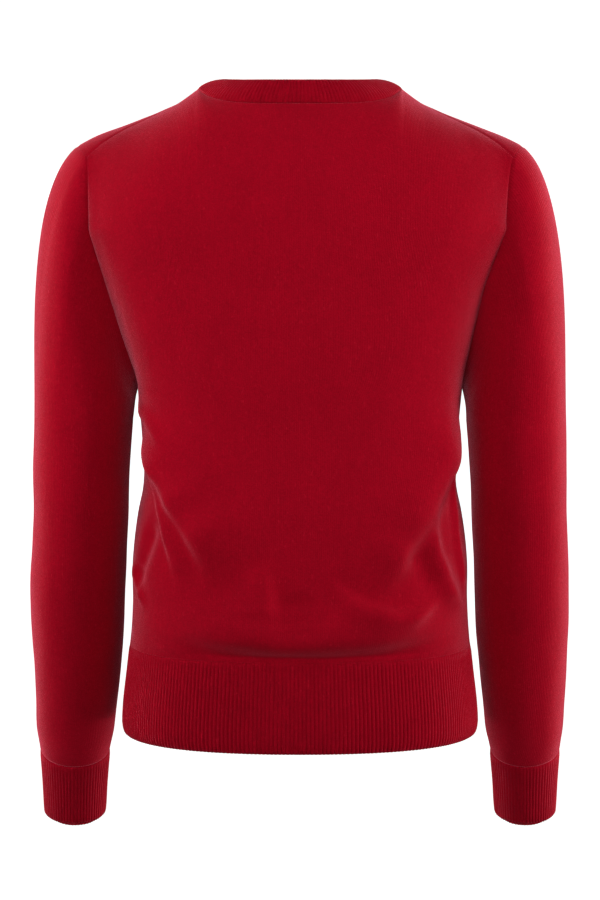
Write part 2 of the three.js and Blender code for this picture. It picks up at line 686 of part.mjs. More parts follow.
// Neckband: a closed ring whose lower edge follows the panels' neck seams.
function bandWall() {
  const set = SEAM_GAP * 0.9;
  const spokes = [];
  const columns = PANEL_COLUMNS.filter((share) => share <= NECK_SHARE);
  const quarter = columns.map((share) => share / NECK_SHARE * Math.PI / 2);
  quarter.forEach((angle) => spokes.push({ side: 'back', angle }));
  quarter.slice(1, -1).reverse().forEach((angle) => spokes.push({ side: 'front', angle }));
  quarter.forEach((angle) => spokes.push({ side: 'front', angle: -angle }));
  quarter.slice(1, -1).reverse().forEach((angle) => spokes.push({ side: 'back', angle: -angle }));
  const seam = spokes.map(({ side, angle }) => {
    const point = neckSeam(side, angle);
    const normal = neckNormal(side, angle);
    const tangent = sub(neckSeam(side, angle + 0.01), neckSeam(side, angle - 0.01));
    const across = seamShift(tangent, normal, sub(bandEdge(side, angle), point));
    return { point: add(point, across, set), normal };
  });
  const turns = spokes.map(({ side, angle }) => {
    if (side === 'back') return angle < 0 ? angle + 2 * Math.PI : angle;
    return Math.PI - angle;
  });
  turns.push(2 * Math.PI);
  const place = (turn, rise, depth) => {
    let k = 0;
    while (k < turns.length - 2 && turn >= turns[k + 1]) k += 1;
    const t = (turn - turns[k]) / (turns[k + 1] - turns[k]);
    const here = seam[k];
    const next = seam[(k + 1) % seam.length];
    const foot = mix(here.point, next.point, t);
    const footNormal = unit(mix(here.normal, next.normal, t));
    const side = turn <= Math.PI / 2 || turn >= 1.5 * Math.PI ? 'back' : 'front';
    const angle = side === 'back' ? (turn > Math.PI ? turn - 2 * Math.PI : turn) : Math.PI - turn;
    const edge = bandEdge(side, angle);
    const near = bandEdge(side, angle + 0.01);
    const far = bandEdge(side, angle - 0.01);
    const facing = side === 'back' ? 1 : -1;
    const leaf = unit(cross(sub(near, far), sub(edge, foot)).map((value) => value * facing));
    const normal = unit(mix(footNormal, leaf, clamp(rise * 2, 0, 1)));
    const roll = BAND_ROLL * 4 * rise * (1 - rise);
    return add(mix(foot, edge, rise), normal, roll + depth);
  };
  const whole = 2 * Math.PI;
  const outerTurns = [];
  for (let k = 0; k < 2 * BAND_RIBS; k += 1) outerTurns.push(k / BAND_RIBS * Math.PI);
  const innerTurns = [];
  for (let k = 0; k < seam.length; k += 1) {
    innerTurns.push(turns[k]);
    innerTurns.push((turns[k] + turns[k + 1]) / 2);
  }
  const outer = BAND_ROWS.map((rise) => (
    outerTurns.map((turn, k) => place(turn, rise, rise > 0 ? ribRelief(k) : 0))
  ));
  const inner = BAND_ROWS.map((rise) => innerTurns.map((turn) => place(turn, rise, -RIB_WALL)));
  const share = (turn) => turn / whole;
  return wallMesh(outer, inner, true, outerTurns.map(share), innerTurns.map(share));
}

const back = panelWall('back');
const front = panelWall('front');
addPart('back_panel', wallMesh(back.outer, back.inner, false), 0x9a0a22);
addPart('front_panel', wallMesh(front.outer, front.inner, false), 0x9a0a22);
addPart('sleeve_left', sleeveWall('left'), 0x940820);
addPart('sleeve_right', sleeveWall('right'), 0x940820);
addPart('neckband', bandWall(), 0x86081c);
addPart('hem_rib_back', hemWall('back'), 0x86081c);
addPart('hem_rib_front', hemWall('front'), 0x86081c);
addPart('cuff_left', cuffWall('left'), 0x86081c);
addPart('cuff_right', cuffWall('right'), 0x86081c);

export default group;
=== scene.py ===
"""Crewneck sweater in red cashmere, filled out as worn: knitted pieces, their finish and the stage.

The knitted pieces are worked out in millimetres, from the same sizes as the solids, and set down in
metres. +Z is up, the wearer faces +Y and the back of the sweater faces -Y.
"""

import functools
import math

import bmesh
import bpy
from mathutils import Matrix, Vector, noise


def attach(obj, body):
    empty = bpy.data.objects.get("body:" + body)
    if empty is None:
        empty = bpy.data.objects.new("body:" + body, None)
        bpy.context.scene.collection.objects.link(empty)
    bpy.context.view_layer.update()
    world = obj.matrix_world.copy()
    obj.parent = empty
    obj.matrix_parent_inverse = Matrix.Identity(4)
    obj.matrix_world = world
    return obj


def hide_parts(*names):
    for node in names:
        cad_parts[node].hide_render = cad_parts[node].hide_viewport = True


bl_info = {
    "name": "Crewneck Sweater",
    "version": (1, 0, 0),
    "blender": (4, 5, 0),
    "location": "View3D > Sidebar > Sweater",
    "description": "Models a fine-gauge crewneck sweater with ribbed neckband, hem and cuffs",
    "category": "Object",
}

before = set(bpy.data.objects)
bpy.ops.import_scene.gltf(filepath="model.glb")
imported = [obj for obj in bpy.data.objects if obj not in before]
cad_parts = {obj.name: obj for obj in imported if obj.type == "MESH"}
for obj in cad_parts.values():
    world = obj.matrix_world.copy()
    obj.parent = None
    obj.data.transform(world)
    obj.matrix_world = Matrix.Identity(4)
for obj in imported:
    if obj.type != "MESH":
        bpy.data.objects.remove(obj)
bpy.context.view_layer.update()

MM = 0.001


def table(columns, rows):
    """Rows of numbers, each by the names of its columns."""
    return [dict(zip(columns.split(), row)) for row in rows]


# Heights of the main levels, in millimetres from the high points of the shoulders.
HEM_Z = -564
HEM_SEAM_Z = -484
UNDERARM_Z = -258
YOKE_Z = -120
CAP_END_Z = -286
CUFF_SEAM_Z = -597
CUFF_END_Z = -664

# Body sections: half width, depths behind and in front of the side seams, and how much fuller
# than an ellipse the section is.
BODY = table("z half back front full", [
    (-564, 156.4, 96.5, 96.5, 0.055),
    (-556, 158, 98, 98, 0.06),
    (-536, 156.8, 98.5, 98.5, 0.065),
    (-510, 153.6, 97.5, 97.5, 0.07),
    (-484, 150.6, 96, 96, 0.075),
    (-474, 149.6, 100, 100, 0.08),
    (-460, 148.6, 103.6, 103.4, 0.085),
    (-440, 147.6, 104, 103.8, 0.09),
    (-415, 147.2, 102, 102.5, 0.1),
    (-390, 145, 101, 102, 0.1),
    (-365, 141.4, 100, 101.5, 0.1),
    (-345, 137.4, 99.5, 101.5, 0.1),
    (-325, 136.4, 99.5, 102, 0.1),
    (-300, 138, 100, 103.5, 0.1),
    (-275, 139.8, 101, 105, 0.1),
    (-258, 141.6, 102, 106, 0.1),
    (-220, 146, 103.5, 106.5, 0.1),
    (-180, 150, 104.4, 103.2, 0.09),
    (-150, 154, 104.3, 99.8, 0.08),
    (-134, 157, 104.1, 98.4, 0.075),
    (-120, 160, 103.8, 97.6, 0.07),
])

# Armhole edges, from the underarm up to the yoke level: distance from the centre plane on each
# hand, and how far from the side seams the edge lies.
ARMHOLE = {
    "back": table("z left right deep", [
        (-258, 141.6, 141.6, 0),
        (-251, 142.4, 142, 10),
        (-241, 144.6, 143.2, 18),
        (-228, 148.4, 145.6, 25),
        (-210, 153.8, 149, 31),
        (-190, 159.4, 153, 36),
        (-168, 165.6, 158, 41),
        (-144, 172.6, 166, 46),
        (-120, 179.4, 175, 50),
    ]),
    "front": table("z left right deep", [
        (-258, 141.6, 141.6, 0),
        (-251, 142.2, 142.2, 10),
        (-241, 143.8, 143.8, 18),
        (-228, 146.4, 146.4, 25),
        (-210, 150.4, 150.4, 31),
        (-190, 155, 155, 36),
        (-168, 160.6, 160.6, 40),
        (-144, 167.6, 167.6, 43),
        (-120, 174.4, 174.4, 45),
    ]),
}

# Shoulder seam, set behind the crest of the shoulder, and the height of that crest.
SHOULDER = table("x y z crest", [
    (88, -4, 0, 0.2),
    (104, -5, -11.4, -11),
    (120, -7, -19.8, -19),
    (136, -11, -27.6, -25.8),
    (152, -19, -35.6, -32.6),
    (168, -29, -46, -40),
    (181.5, -38, -58, -48.6),
])

# Share of a panel's half width that the neck takes, how far the front swells at the shoulder's tip,
# and the degrees through which the yoke bends over: at the centre, beside the neck and at the tip.
NECK_SHARE = 0.42
TIP_BULGE = 14
YOKE_SWEEP = {"centre": 50, "back": 86, "front": 80, "tip": 74}
SWEEP_BLEND = 0.3

# Neck seam and the upper edge of the neckband. A drop is the power by which the line falls from the
# shoulder to the centre, and a lean is how far the cloth faces sideways there.
NECK_HALF = 88
NECK_SIDE_Y = -4
NECK_Y = {"back": -72, "front": 78}
NECK_Z = {"back": -14, "front": -78}
NECK_FULL = {"back": 0.05, "front": 0.12}
NECK_DROP = {"back": 4.5, "front": 2.6}
NECK_LEAN = {"side": 0.45, "back": 0.45, "front": 0.35}
BAND_HALF = 65
BAND_Y = {"back": -66, "front": 67}
BAND_Z = {"back": 6.4, "front": -60}
BAND_SIDE_Y = -2
BAND_SIDE_Z = 7.6
BAND_DROP = 2.4
BAND_ROLL = 2.2
BAND_RIBS = 166

# Sleeve sections: place of the arm's axis, and half the width and the thickness there.
SLEEVE = table("z x y wide thick", [
    (-286, 189.3, -6, 43.6, 50),
    (-312, 190.6, -7.5, 42.7, 48.5),
    (-340, 192.1, -8, 42, 47),
    (-370, 193.1, -5, 41.6, 45.5),
    (-400, 195, 0, 41.8, 44.5),
    (-430, 197, 7, 42.2, 43.5),
    (-460, 198.6, 15, 41.9, 42),
    (-490, 199.9, 24, 40.6, 40.5),
    (-520, 201.6, 33.5, 38.9, 39),
    (-550, 203.8, 43.5, 36.9, 37),
    (-575, 205.8, 52.5, 35.2, 35),
    (-592, 206.9, 58.8, 32.6, 32.6),
    (-602, 207.4, 62.6, 31.6, 31.2),
    (-630, 208.9, 73.6, 29.8, 29.4),
    (-655, 210.2, 83.5, 28.8, 28.4),
    (-664, 210.7, 87, 28.2, 27.8),
])

# How the sleeve cap leaves the armhole, outward and down, at the underarm and at the shoulder, how
# far it leans to back and front, and how strongly it holds that way at each end.
CAP_OUT = (0.35, 0.78)
CAP_DOWN = (0.9, 0.62)
CAP_LEAN = 0.35
CAP_REACH = {"left": 0.7, "right": 0.65}
CAP_ARRIVE = 0.95

# Share of an armhole's steps that lies below the yoke, the number of its steps, and how many
# halvings find its edge on a section.
ARMHOLE_LOW = 0.6
ARMHOLE_STEPS = 80
EDGE_HALVINGS = 40

# Half the height over which a sleeve's axis is measured, and half the turn for the neckband's edge.
AXIS_STEP = 4
EDGE_STEP = 0.01

# Folds of the body, by degrees round it from the centre line, minus on the left, and by height,
# from end 0 to end 1. The rise is minus for a trough. A fold falls away over a half width above it
# and one below it, ends that many times as wide as it starts, and bows up between its ends. The
# edge is 2 for a soft fall below it and more for a rounded brink.
FOLD_COLUMNS = "turn0 z0 turn1 z1 rise above below spread bow edge"
FOLDS = {
    "back": table(FOLD_COLUMNS, [
        (-62, -304, -25, -396, 13, 28, 11, 1.6, 9, 4),
        (-66, -312, -40, -404, 6, 9, 5, 1.4, 8, 4),
        (-53, -370, -64, -424, -5.5, 9, 8, 1.2, 0, 2),
        (-74, -272, -47, -298, 3.8, 8, 8, 0.8, 4, 2),
        (-72, -412, -58, -440, 3, 6, 5, 1, 0, 2),
        (64, -292, 23, -411, 14.5, 32, 22, 0.8, 8, 3),
        (46, -362, 60, -442, 6.5, 7, 9, 1.2, -12, 2),
        (70, -322, 65, -428, 4, 5, 3.5, 1, 16, 3),
        (36, -384, 43, -424, -3.5, 9, 9, 1, 0, 2),
        (12, -422, 42, -440, 8, 6, 14, 0.8, -9, 2),
        (-12, -404, -10, -441, 6, 5.5, 17, 1, 0, 2),
        (-3, -424, -1, -464, -3.6, 19, 19, 1, 0, 2),
        (-31, -452, 37, -450, 9, 22, 16.5, 1, -9, 3),
        (-37, -473, 45, -471, -3, 7, 8, 1, -10, 2),
    ]),
    "front": table(FOLD_COLUMNS, [
        (-62, -300, -27, -392, 8.4, 22, 9, 1.5, 9, 4),
        (-68, -324, -46, -414, 3.2, 9, 4, 1.2, 6, 3),
        (-52, -376, -61, -428, -3.8, 9, 8, 1.1, 0, 2),
        (63, -300, 29, -408, 9.2, 24, 14, 0.9, 8, 3),
        (48, -370, 64, -448, 4.2, 8, 9, 1.2, -10, 3),
        (69, -334, 64, -426, 2.6, 6, 5, 1, 12, 2),
        (-43, -438, -15, -430, 2.8, 9, 11, 1, -6, 2),
        (10, -418, 13, -446, 2.6, 11, 6, 1, 0, 2),
        (-39, -449, 37, -452, 5.4, 22, 14, 1, -10, 3),
        (-41, -472, 38, -473, -3, 7, 8, 1, -9, 2),
    ]),
}

# Length round the body for one degree of turn, in millimetres.
TURN_LENGTH = 2.2

# Height over which the folds die out above the hem seam, and how closely they keep off the side
# seams.
FOLD_FADE = 6
SIDE_HOLD = 12

# How far a fold runs on past its ends and the share of its length over which it dies out there,
# how far its line wanders and how much its height varies, both in FOLD_WAVES waves, with the height
# quicker by FOLD_PACE, and the seed that tells folds apart.
FOLD_OVERRUN = 0.2
FOLD_TAPER = 0.45
FOLD_WANDER = 1.6
FOLD_UNEVEN = 0.3
FOLD_WAVES = 3
FOLD_PACE = 1.7
FOLD_SEED = 7.3

# Studio floor: a round bowl far below the sweater, in metres.
FLOOR_Z = -2.6
STAGE_RADIUS = 5.0
STAGE_BEND = 1.6
BEND_STEPS = 12
STAGE_SIDES = 96
STAGE_TOP_Z = 5.0

# Yarn: range of the nap's shade that is used, tones of the deepest and lightest yarn and of the
# painted shade between stitches, share of light fibre tips, and how the nap changes the roughness.
SHADE_RANGE = (0.36, 0.64)
YARN_DEEP = 0.8
YARN_LIGHT = 1.2
PAINTED_GAP_TONE = 0.3
TIP_SHARE = 0.35
NAP_GLOSS = -0.2

# Relief of the stitches against the nap, the bump's strength and height in metres, and the sheen.
STITCH_RELIEF = 0.5
BUMP_STRENGTH = 0.55
BUMP_HEIGHT = 0.0007
WOOL_GLOSS = 0.04
SHEEN_ROUGHNESS = 0.3
SHEEN_TINT = (1.0, 0.22, 0.31, 1.0)

# Soft area lights, in metres and watts, with their spread in degrees, and the spots they face.
CHEST = (-0.03, 0, -0.12)
WAIST = (0, 0, -0.33)
LIGHTS = table("name place aim width height power spread", [
    ("left_rim", (-1.3, 0.8, 0), WAIST, 0.8, 1.8, 27, 180),
    ("right_rim", (1.3, 0.8, -0.3), WAIST, 0.8, 1.6, 28, 180),
    ("left_side", (-1.9, -0.45, 0.1), WAIST, 0.8, 1.6, 20, 180),
    ("right_side", (1.9, -0.45, -0.1), WAIST, 0.8, 1.6, 24, 180),
    ("key", (-0.3, -1.9, 0.9), CHEST, 1.2, 0.8, 1.35, 36),
    ("front_light", (0.4, 2.4, 1.5), WAIST, 1.4, 1.4, 20, 180),
])

# Light that comes from all round, and the floor's glow: its own, and what the camera sees besides.
ROOM_LIGHT = 0.05
FLOOR_GLOW = 0.03
FLOOR_SEEN = 0.97

# Camera: place in metres, degrees down, lens and film width in millimetres.
CAMERA_PLACE = (0, -1.9851, -0.0701)
CAMERA_DOWN = 7
CAMERA_LENS = 90.9
CAMERA_FILM = 36

FACING = {"back": -1, "front": 1}
HAND = {"left": -1, "right": 1}

# Heights over which the ribs of the hem and cuffs and those of the neckband grow, how fast the
# hem's grow beside its side seams, and the share of their height that the neckband's have.
RIB_FADE = 8
BAND_RIB_FADE = 2.5
HEM_SIDE_FADE = 120
BAND_RELIEF = 0.9

# Shares of a seam's depth at the neck and at the cuffs.
NECK_DIP = 0.2
CUFF_DIP = 0.5

# Columns and rows of the pieces' grids. A rib has RIB_COLUMNS columns of its own.
PANEL_GRID = (240, 188)
SLEEVE_GRID = (132, 160)
RIB_COLUMNS = 8
RIB_ROWS = 14
BAND_ROWS = 12

# Shares of a panel's rows that make its yoke, and of a sleeve's that make its cap.
YOKE_PART = 0.3
CAP_PART = 0.36

# Powers by which rows and columns draw together beside the seams.
PANEL_COLUMN_EASE = 1.5
PANEL_ROW_EASE = 1.35
CAP_ROW_EASE = 1.3
SLEEVE_ROW_EASE = 1.25
RIB_EASE_LOW = 1.7
RIB_EASE_HIGH = 1.3

# Lengths over the cloth, from the centre line to the side seam of a panel and of a hem half, up the
# yoke, and round a hem half. Then mean radii of a cuff and a sleeve, and a panel's depth.
PANEL_REACH = 235
HEM_REACH = 207
YOKE_REACH = 115
HEM_GIRTH = 415
CUFF_RADIUS = 30.4
SLEEVE_RADIUS = 45
PANEL_DEPTH = 100

# Middle height of a sleeve's cap, and its length at the underarm and over the shoulder.
CAP_MIDDLE_Z = -150
CAP_LENGTHS = (30, 220)

# Sizes on the flat cut: half widths of a panel and a sleeve, and heights of the yoke, of the sleeve
# below its cap, of the cap and of the neckband.
PANEL_HALF_CUT = 240
SLEEVE_HALF_CUT = 142
YOKE_CUT = 118
SLEEVE_CUT = 310
CAP_CUT = 200
BAND_CUT = 25

# Unevenness of the cloth: size, height and seed of its waves, how much taller than wide they are,
# and how far they keep off the seams.
PANEL_RIPPLES = ((60, 0.9, 3.1), (26, 0.35, 7.7))
SLEEVE_RIPPLES = ((48, 1.1, 11.3), (22, 0.35, 2.9))
RIPPLE_STRETCH = 1.6
RIPPLE_FADE = 25

# Share by which ribs vary in height, the lengths over which those of the hem and cuffs do so, and
# the power that rounds their crowns.
RIB_UNEVEN = 0.25
HEM_RIB_WAVE = 30
CUFF_RIB_WAVE = 25
RIB_CROWN = 0.7

# What all the sizes and all the colours in the panel have in common.
LENGTH = {"subtype": "DISTANCE", "unit": "LENGTH"}
COLOUR = {"subtype": "COLOR", "size": 3, "min": 0.0, "max": 1.0}


class SweaterSizes(bpy.types.PropertyGroup):
    """Sizes of the knit."""

    jersey_wall: bpy.props.FloatProperty(
        name="Jersey thickness",
        description="Thickness of the plain knitted cloth",
        default=0.0020, min=0.001, max=0.003, **LENGTH,
    )
    rib_wall: bpy.props.FloatProperty(
        name="Rib thickness",
        description="Thickness of the ribbed cloth under its ribs",
        default=0.0024, min=0.001, max=0.003, **LENGTH,
    )
    rib_pitch: bpy.props.FloatProperty(
        name="Rib pitch",
        description="Distance from one rib to the next",
        default=0.0029, min=0.002, max=0.006, **LENGTH,
    )
    rib_relief: bpy.props.FloatProperty(
        name="Rib relief",
        description="Height of the ribs over the valleys between them",
        default=0.0006, min=0.0, max=0.0015, **LENGTH,
    )
    seam_depth: bpy.props.FloatProperty(
        name="Seam depth",
        description="How far the cloth sinks at a seam",
        default=0.0007, min=0.0, max=0.002, **LENGTH,
    )
    wale: bpy.props.FloatProperty(
        name="Wale width",
        description="Width of one column of stitches in the plain knit",
        default=0.0017, min=0.0008, max=0.004, **LENGTH,
    )
    course: bpy.props.FloatProperty(
        name="Course height",
        description="Height of one row of stitches",
        default=0.0013, min=0.0006, max=0.003, **LENGTH,
    )


class SweaterColours(bpy.types.PropertyGroup):
    """Colours of the yarn and the stage."""

    jersey: bpy.props.FloatVectorProperty(
        name="Jersey", description="Colour of the plain knit",
        **COLOUR, default=(0.42, 0.0014, 0.014),
    )
    rib: bpy.props.FloatVectorProperty(
        name="Rib", description="Colour of the ribbed knit",
        **COLOUR, default=(0.385, 0.0013, 0.0128),
    )
    nap: bpy.props.FloatVectorProperty(
        name="Nap", description="Colour of the light tips of the brushed fibres",
        **COLOUR, default=(0.66, 0.014, 0.035),
    )
    floor: bpy.props.FloatVectorProperty(
        name="Floor", description="Colour of the floor and backdrop",
        **COLOUR, default=(0.45, 0.45, 0.45),
    )


def clamp(value, low=0.0, high=1.0):
    """Value kept between low and high."""
    return max(low, min(high, value))


def lerp(a, b, t):
    """Number or vector at share t of the way from a to b."""
    return a + (b - a) * t


def ease(t):
    """Smooth step of a share."""
    return t * t * (3 - 2 * t)


def read(rows, key, column, at):
    """Value of a column at a key, along a smooth curve through a table's rows."""
    sign = 1 if rows[1][key] > rows[0][key] else -1
    keys = [row[key] * sign for row in rows]
    last = len(rows) - 1
    x = clamp(at * sign, keys[0], keys[last])
    i = 0
    while i < last - 1 and x > keys[i + 1]:
        i += 1

    def slope(k):
        low, high = max(0, k - 1), min(last, k + 1)
        return (rows[high][column] - rows[low][column]) / (keys[high] - keys[low])

    h = keys[i + 1] - keys[i]
    t = (x - keys[i]) / h
    a, b = rows[i][column], rows[i + 1][column]
    return (
        a * (1 + 2 * t) * (1 - t) ** 2
        + b * t * t * (3 - 2 * t)
        + slope(i) * h * t * (1 - t) ** 2
        - slope(i + 1) * h * t * t * (1 - t)
    )


def swell(angle, full):
    """Fullness of a section over an ellipse at an angle."""
    return 1 + full * math.sin(2 * angle) ** 2


def fold_rise(side, angle, z):
    """Height of the folds at an angle round the body and a level."""
    turn = math.degrees(angle)
    rise = 0.0
    for number, fold in enumerate(FOLDS[side]):
        du = (fold["turn1"] - fold["turn0"]) * TURN_LENGTH
        dz = fold["z1"] - fold["z0"]
        pu = (turn - fold["turn0"]) * TURN_LENGTH
        pz = z - fold["z0"]
        along = (pu * du + pz * dz) / (du * du + dz * dz)
        if not -FOLD_OVERRUN <= along <= 1 + FOLD_OVERRUN:
            continue
        off = (pu * dz - pz * du) / math.hypot(du, dz) * math.copysign(1, du)
        spot = Vector((along * FOLD_WAVES, number * FOLD_SEED, FACING[side]))
        below = off + fold["bow"] * 4 * along * (1 - along)
        below += FOLD_WANDER * noise.noise(spot)
        width = fold["below"] if below > 0 else fold["above"]
        width *= lerp(1, fold["spread"], clamp(along))
        fade = ease(clamp((along + FOLD_OVERRUN) / FOLD_TAPER))
        fade *= ease(clamp((1 + FOLD_OVERRUN - along) / FOLD_TAPER))
        fade *= 1 + FOLD_UNEVEN * noise.noise(spot * FOLD_PACE)
        edge = fold["edge"] if below > 0 else 2
        rise += fold["rise"] * fade * math.exp(-(abs(below / width) ** edge))
    return rise * near_seam(z - HEM_SEAM_Z, FOLD_FADE)


@functools.lru_cache(maxsize=None)
def read_body(z, column):
    """Value of a body column at a level."""
    return read(BODY, "z", column, z)


@functools.lru_cache(maxsize=None)
def section(side, hand, z):
    """Depth, fullness, edge angle and full half width of the body at a level."""
    depth, full = read_body(z, side), read_body(z, "full")
    if z <= UNDERARM_Z:
        return depth, full, math.pi / 2, read_body(z, "half")
    x = read(ARMHOLE[side], "z", hand, z)
    deep = read(ARMHOLE[side], "z", "deep", z)
    low, high = math.pi / 4, math.pi / 2
    for _ in range(EDGE_HALVINGS):
        middle = (low + high) / 2
        if depth * math.cos(middle) * swell(middle, full) > deep:
            low = middle
        else:
            high = middle
    end = high if deep > 0 else math.pi / 2
    return depth, full, end, x / (math.sin(end) * swell(end, full))


def body_point(side, share, z):
    """Point of the body below the yoke."""
    depth, full, end, width = section(side, "left" if share < 0 else "right", z)
    angle = share * end
    facing = FACING[side]
    out = Vector((math.sin(angle) / width, facing * math.cos(angle) / depth, 0)).normalized()
    point = Vector((
        width * math.sin(angle) * swell(angle, full),
        facing * depth * math.cos(angle) * swell(angle, full),
        z,
    ))
    return point + out * (fold_rise(side, angle, z) * (1 - abs(share) ** SIDE_HOLD))


def neck_seam(side, angle):
    """Point of the neck seam: angle 0 at the centre, a right angle at the shoulder."""
    full = swell(angle, NECK_FULL[side])
    c = math.cos(angle) * full
    if side == "back":
        z = NECK_Z[side] * (1 - abs(math.sin(angle)) ** NECK_DROP[side])
    else:
        z = NECK_Z[side] * max(0.0, c) ** NECK_DROP[side]
    return Vector((NECK_HALF * math.sin(angle) * full, lerp(NECK_SIDE_Y, NECK_Y[side], c), z))


def band_edge(side, angle):
    """Point of the neckband's upper edge."""
    full = swell(angle, NECK_FULL[side])
    c = math.cos(angle) * full
    share = math.cos(angle) ** 2 if side == "back" else max(0.0, c) ** BAND_DROP
    return Vector((
        BAND_HALF * math.sin(angle) * full,
        lerp(BAND_SIDE_Y, BAND_Y[side], c),
        lerp(BAND_SIDE_Z, BAND_Z[side], share),
    ))


def neck_normal(side, angle):
    """Outward direction along the neck seam."""
    flat = NECK_LEAN["side"] + NECK_LEAN[side] * math.cos(angle) ** 2
    return Vector((
        math.sin(angle) * flat,
        FACING[side] * math.cos(angle) * flat,
        math.sqrt(1 - flat * flat),
    ))


@functools.lru_cache(maxsize=None)
def yoke_line(side, share):
    """Foot and top of a column of the yoke, its share past the neck and its sweep."""
    reach = abs(share)
    past = clamp((reach - NECK_SHARE) / (1 - NECK_SHARE))
    if past > 0:
        x = lerp(NECK_HALF, SHOULDER[-1]["x"], past)
        top = Vector((
            math.copysign(x, share),
            read(SHOULDER, "x", "y", x),
            read(SHOULDER, "x", "z", x),
        ))
        crest = read(SHOULDER, "x", "crest", x)
    else:
        top = neck_seam(side, share / NECK_SHARE * math.pi / 2)
        crest = top.z
    flat = YOKE_SWEEP[side]
    sweep = lerp(YOKE_SWEEP["centre"], flat, ease(clamp(reach / NECK_SHARE)))
    if side == "back":
        sweep = lerp(sweep, YOKE_SWEEP["tip"], past)
    elif past > 0:
        ratio = clamp((top.z - YOKE_Z) / (crest - YOKE_Z))
        over_crest = 180 - math.degrees(math.asin(ratio))
        sweep = lerp(flat, over_crest, ease(clamp(past / SWEEP_BLEND)))
    return body_point(side, share, YOKE_Z), top, past, math.radians(sweep)


def yoke_point(side, share, rise):
    """Point of the yoke: rise is 0 at the yoke level and 1 at the upper edge."""
    base, top, past, end = yoke_line(side, share)
    angle = end * rise
    forth = (1 - math.cos(angle)) / (1 - math.cos(end))
    point = lerp(base, top, forth)
    if side == "front":
        point.x += math.copysign(TIP_BULGE * 4 * forth * (1 - forth) * past ** 3, share)
    point.z = YOKE_Z + (top.z - YOKE_Z) * math.sin(angle) / math.sin(end)
    return point


def armhole_edge(side, hand, step):
    """Point of a panel's armhole edge: step is 0 at the underarm and 1 at the shoulder."""
    share = HAND[hand]
    if step < ARMHOLE_LOW:
        return body_point(side, share, lerp(UNDERARM_Z, YOKE_Z, step / ARMHOLE_LOW))
    return yoke_point(side, share, (step - ARMHOLE_LOW) / (1 - ARMHOLE_LOW))


@functools.lru_cache(maxsize=None)
def armhole_loop(hand):
    """Points round an armhole, up the back and down the front, and their shares of its length."""
    steps = [k / ARMHOLE_STEPS for k in range(ARMHOLE_STEPS + 1)]
    points = [armhole_edge("back", hand, step) for step in steps]
    points += [armhole_edge("front", hand, step) for step in reversed(steps[:-1])]
    lengths = [0.0]
    for near, far in zip(points, points[1:]):
        lengths.append(lengths[-1] + (far - near).length)
    return points, [length / lengths[-1] for length in lengths]


@functools.lru_cache(maxsize=None)
def armhole_point(hand, share):
    """Point of the armhole at a share of its length."""
    points, shares = armhole_loop(hand)
    k = 0
    while k < len(shares) - 2 and share > shares[k + 1]:
        k += 1
    return lerp(points[k], points[k + 1], (share - shares[k]) / (shares[k + 1] - shares[k]))


@functools.lru_cache(maxsize=None)
def sleeve_frame(hand, z):
    """Centre of a sleeve at a level, its axis, its directions out and back, and half sizes."""
    sign = HAND[hand]

    def centre(level):
        return Vector((sign * read(SLEEVE, "z", "x", level), read(SLEEVE, "z", "y", level), level))

    axis = (centre(z - AXIS_STEP) - centre(z + AXIS_STEP)).normalized()
    outward = (Vector((sign, 0, 0)) - axis * (axis.x * sign)).normalized()
    to_back = outward.cross(axis).normalized() * -sign
    wide, thick = read(SLEEVE, "z", "wide", z), read(SLEEVE, "z", "thick", z)
    return centre(z), axis, outward, to_back, wide, thick


def sleeve_ring(hand, z, share):
    """Point of a sleeve at a level and its direction from the axis: share 0 is next to the body."""
    centre, _, outward, to_back, wide, thick = sleeve_frame(hand, z)
    angle = share * 2 * math.pi
    radial = to_back * (thick * math.sin(angle)) - outward * (wide * math.cos(angle))
    return centre + radial, radial.normalized()


def cap_point(hand, share, rise):
    """Point of the sleeve cap: rise is 0 at the armhole and 1 at the first full ring."""
    sign = HAND[hand]
    start = armhole_point(hand, share)
    end, _ = sleeve_ring(hand, CAP_END_Z, share)
    axis = sleeve_frame(hand, CAP_END_Z)[1]
    turn = share * 2 * math.pi
    top = (1 - math.cos(turn)) / 2
    leave = Vector((
        sign * lerp(*CAP_OUT, top),
        -math.sin(turn) * CAP_LEAN * abs(math.sin(turn)),
        -lerp(*CAP_DOWN, top),
    )).normalized()
    reach = (end - start).length
    t = rise
    return (
        start * ((1 + 2 * t) * (1 - t) ** 2)
        + end * (t * t * (3 - 2 * t))
        + leave * (reach * CAP_REACH[hand] * t * (1 - t) ** 2)
        - axis * (reach * CAP_ARRIVE * t * t * (1 - t))
    )


def ripple(point, size, height, seed):
    """Slow uneven rise and fall of soft cloth at a point."""
    spot = Vector((point.x / size, point.y / size, point.z / (size * RIPPLE_STRETCH) + seed))
    return height * noise.noise(spot)


def dip(point, inward, distance, depth, reach=1.8):
    """Point of a cloth moved inward where it lies near a seam."""
    return point + inward * (depth * math.exp(-((distance / reach) ** 2)))


def near_seam(distance, reach=6):
    """0 at a seam and 1 away from it."""
    return ease(clamp(distance / reach))


@functools.lru_cache(maxsize=None)
def armhole_middle(hand):
    """Middle of an armhole."""
    points, _ = armhole_loop(hand)
    return sum(points, Vector()) / len(points)


def turn_in(distance, radius=1.3):
    """How far cloth draws in at a distance from a free edge, so that the edge is round."""
    near = clamp(1 - distance / radius)
    return -radius * (1 - math.sqrt(1 - near * near))


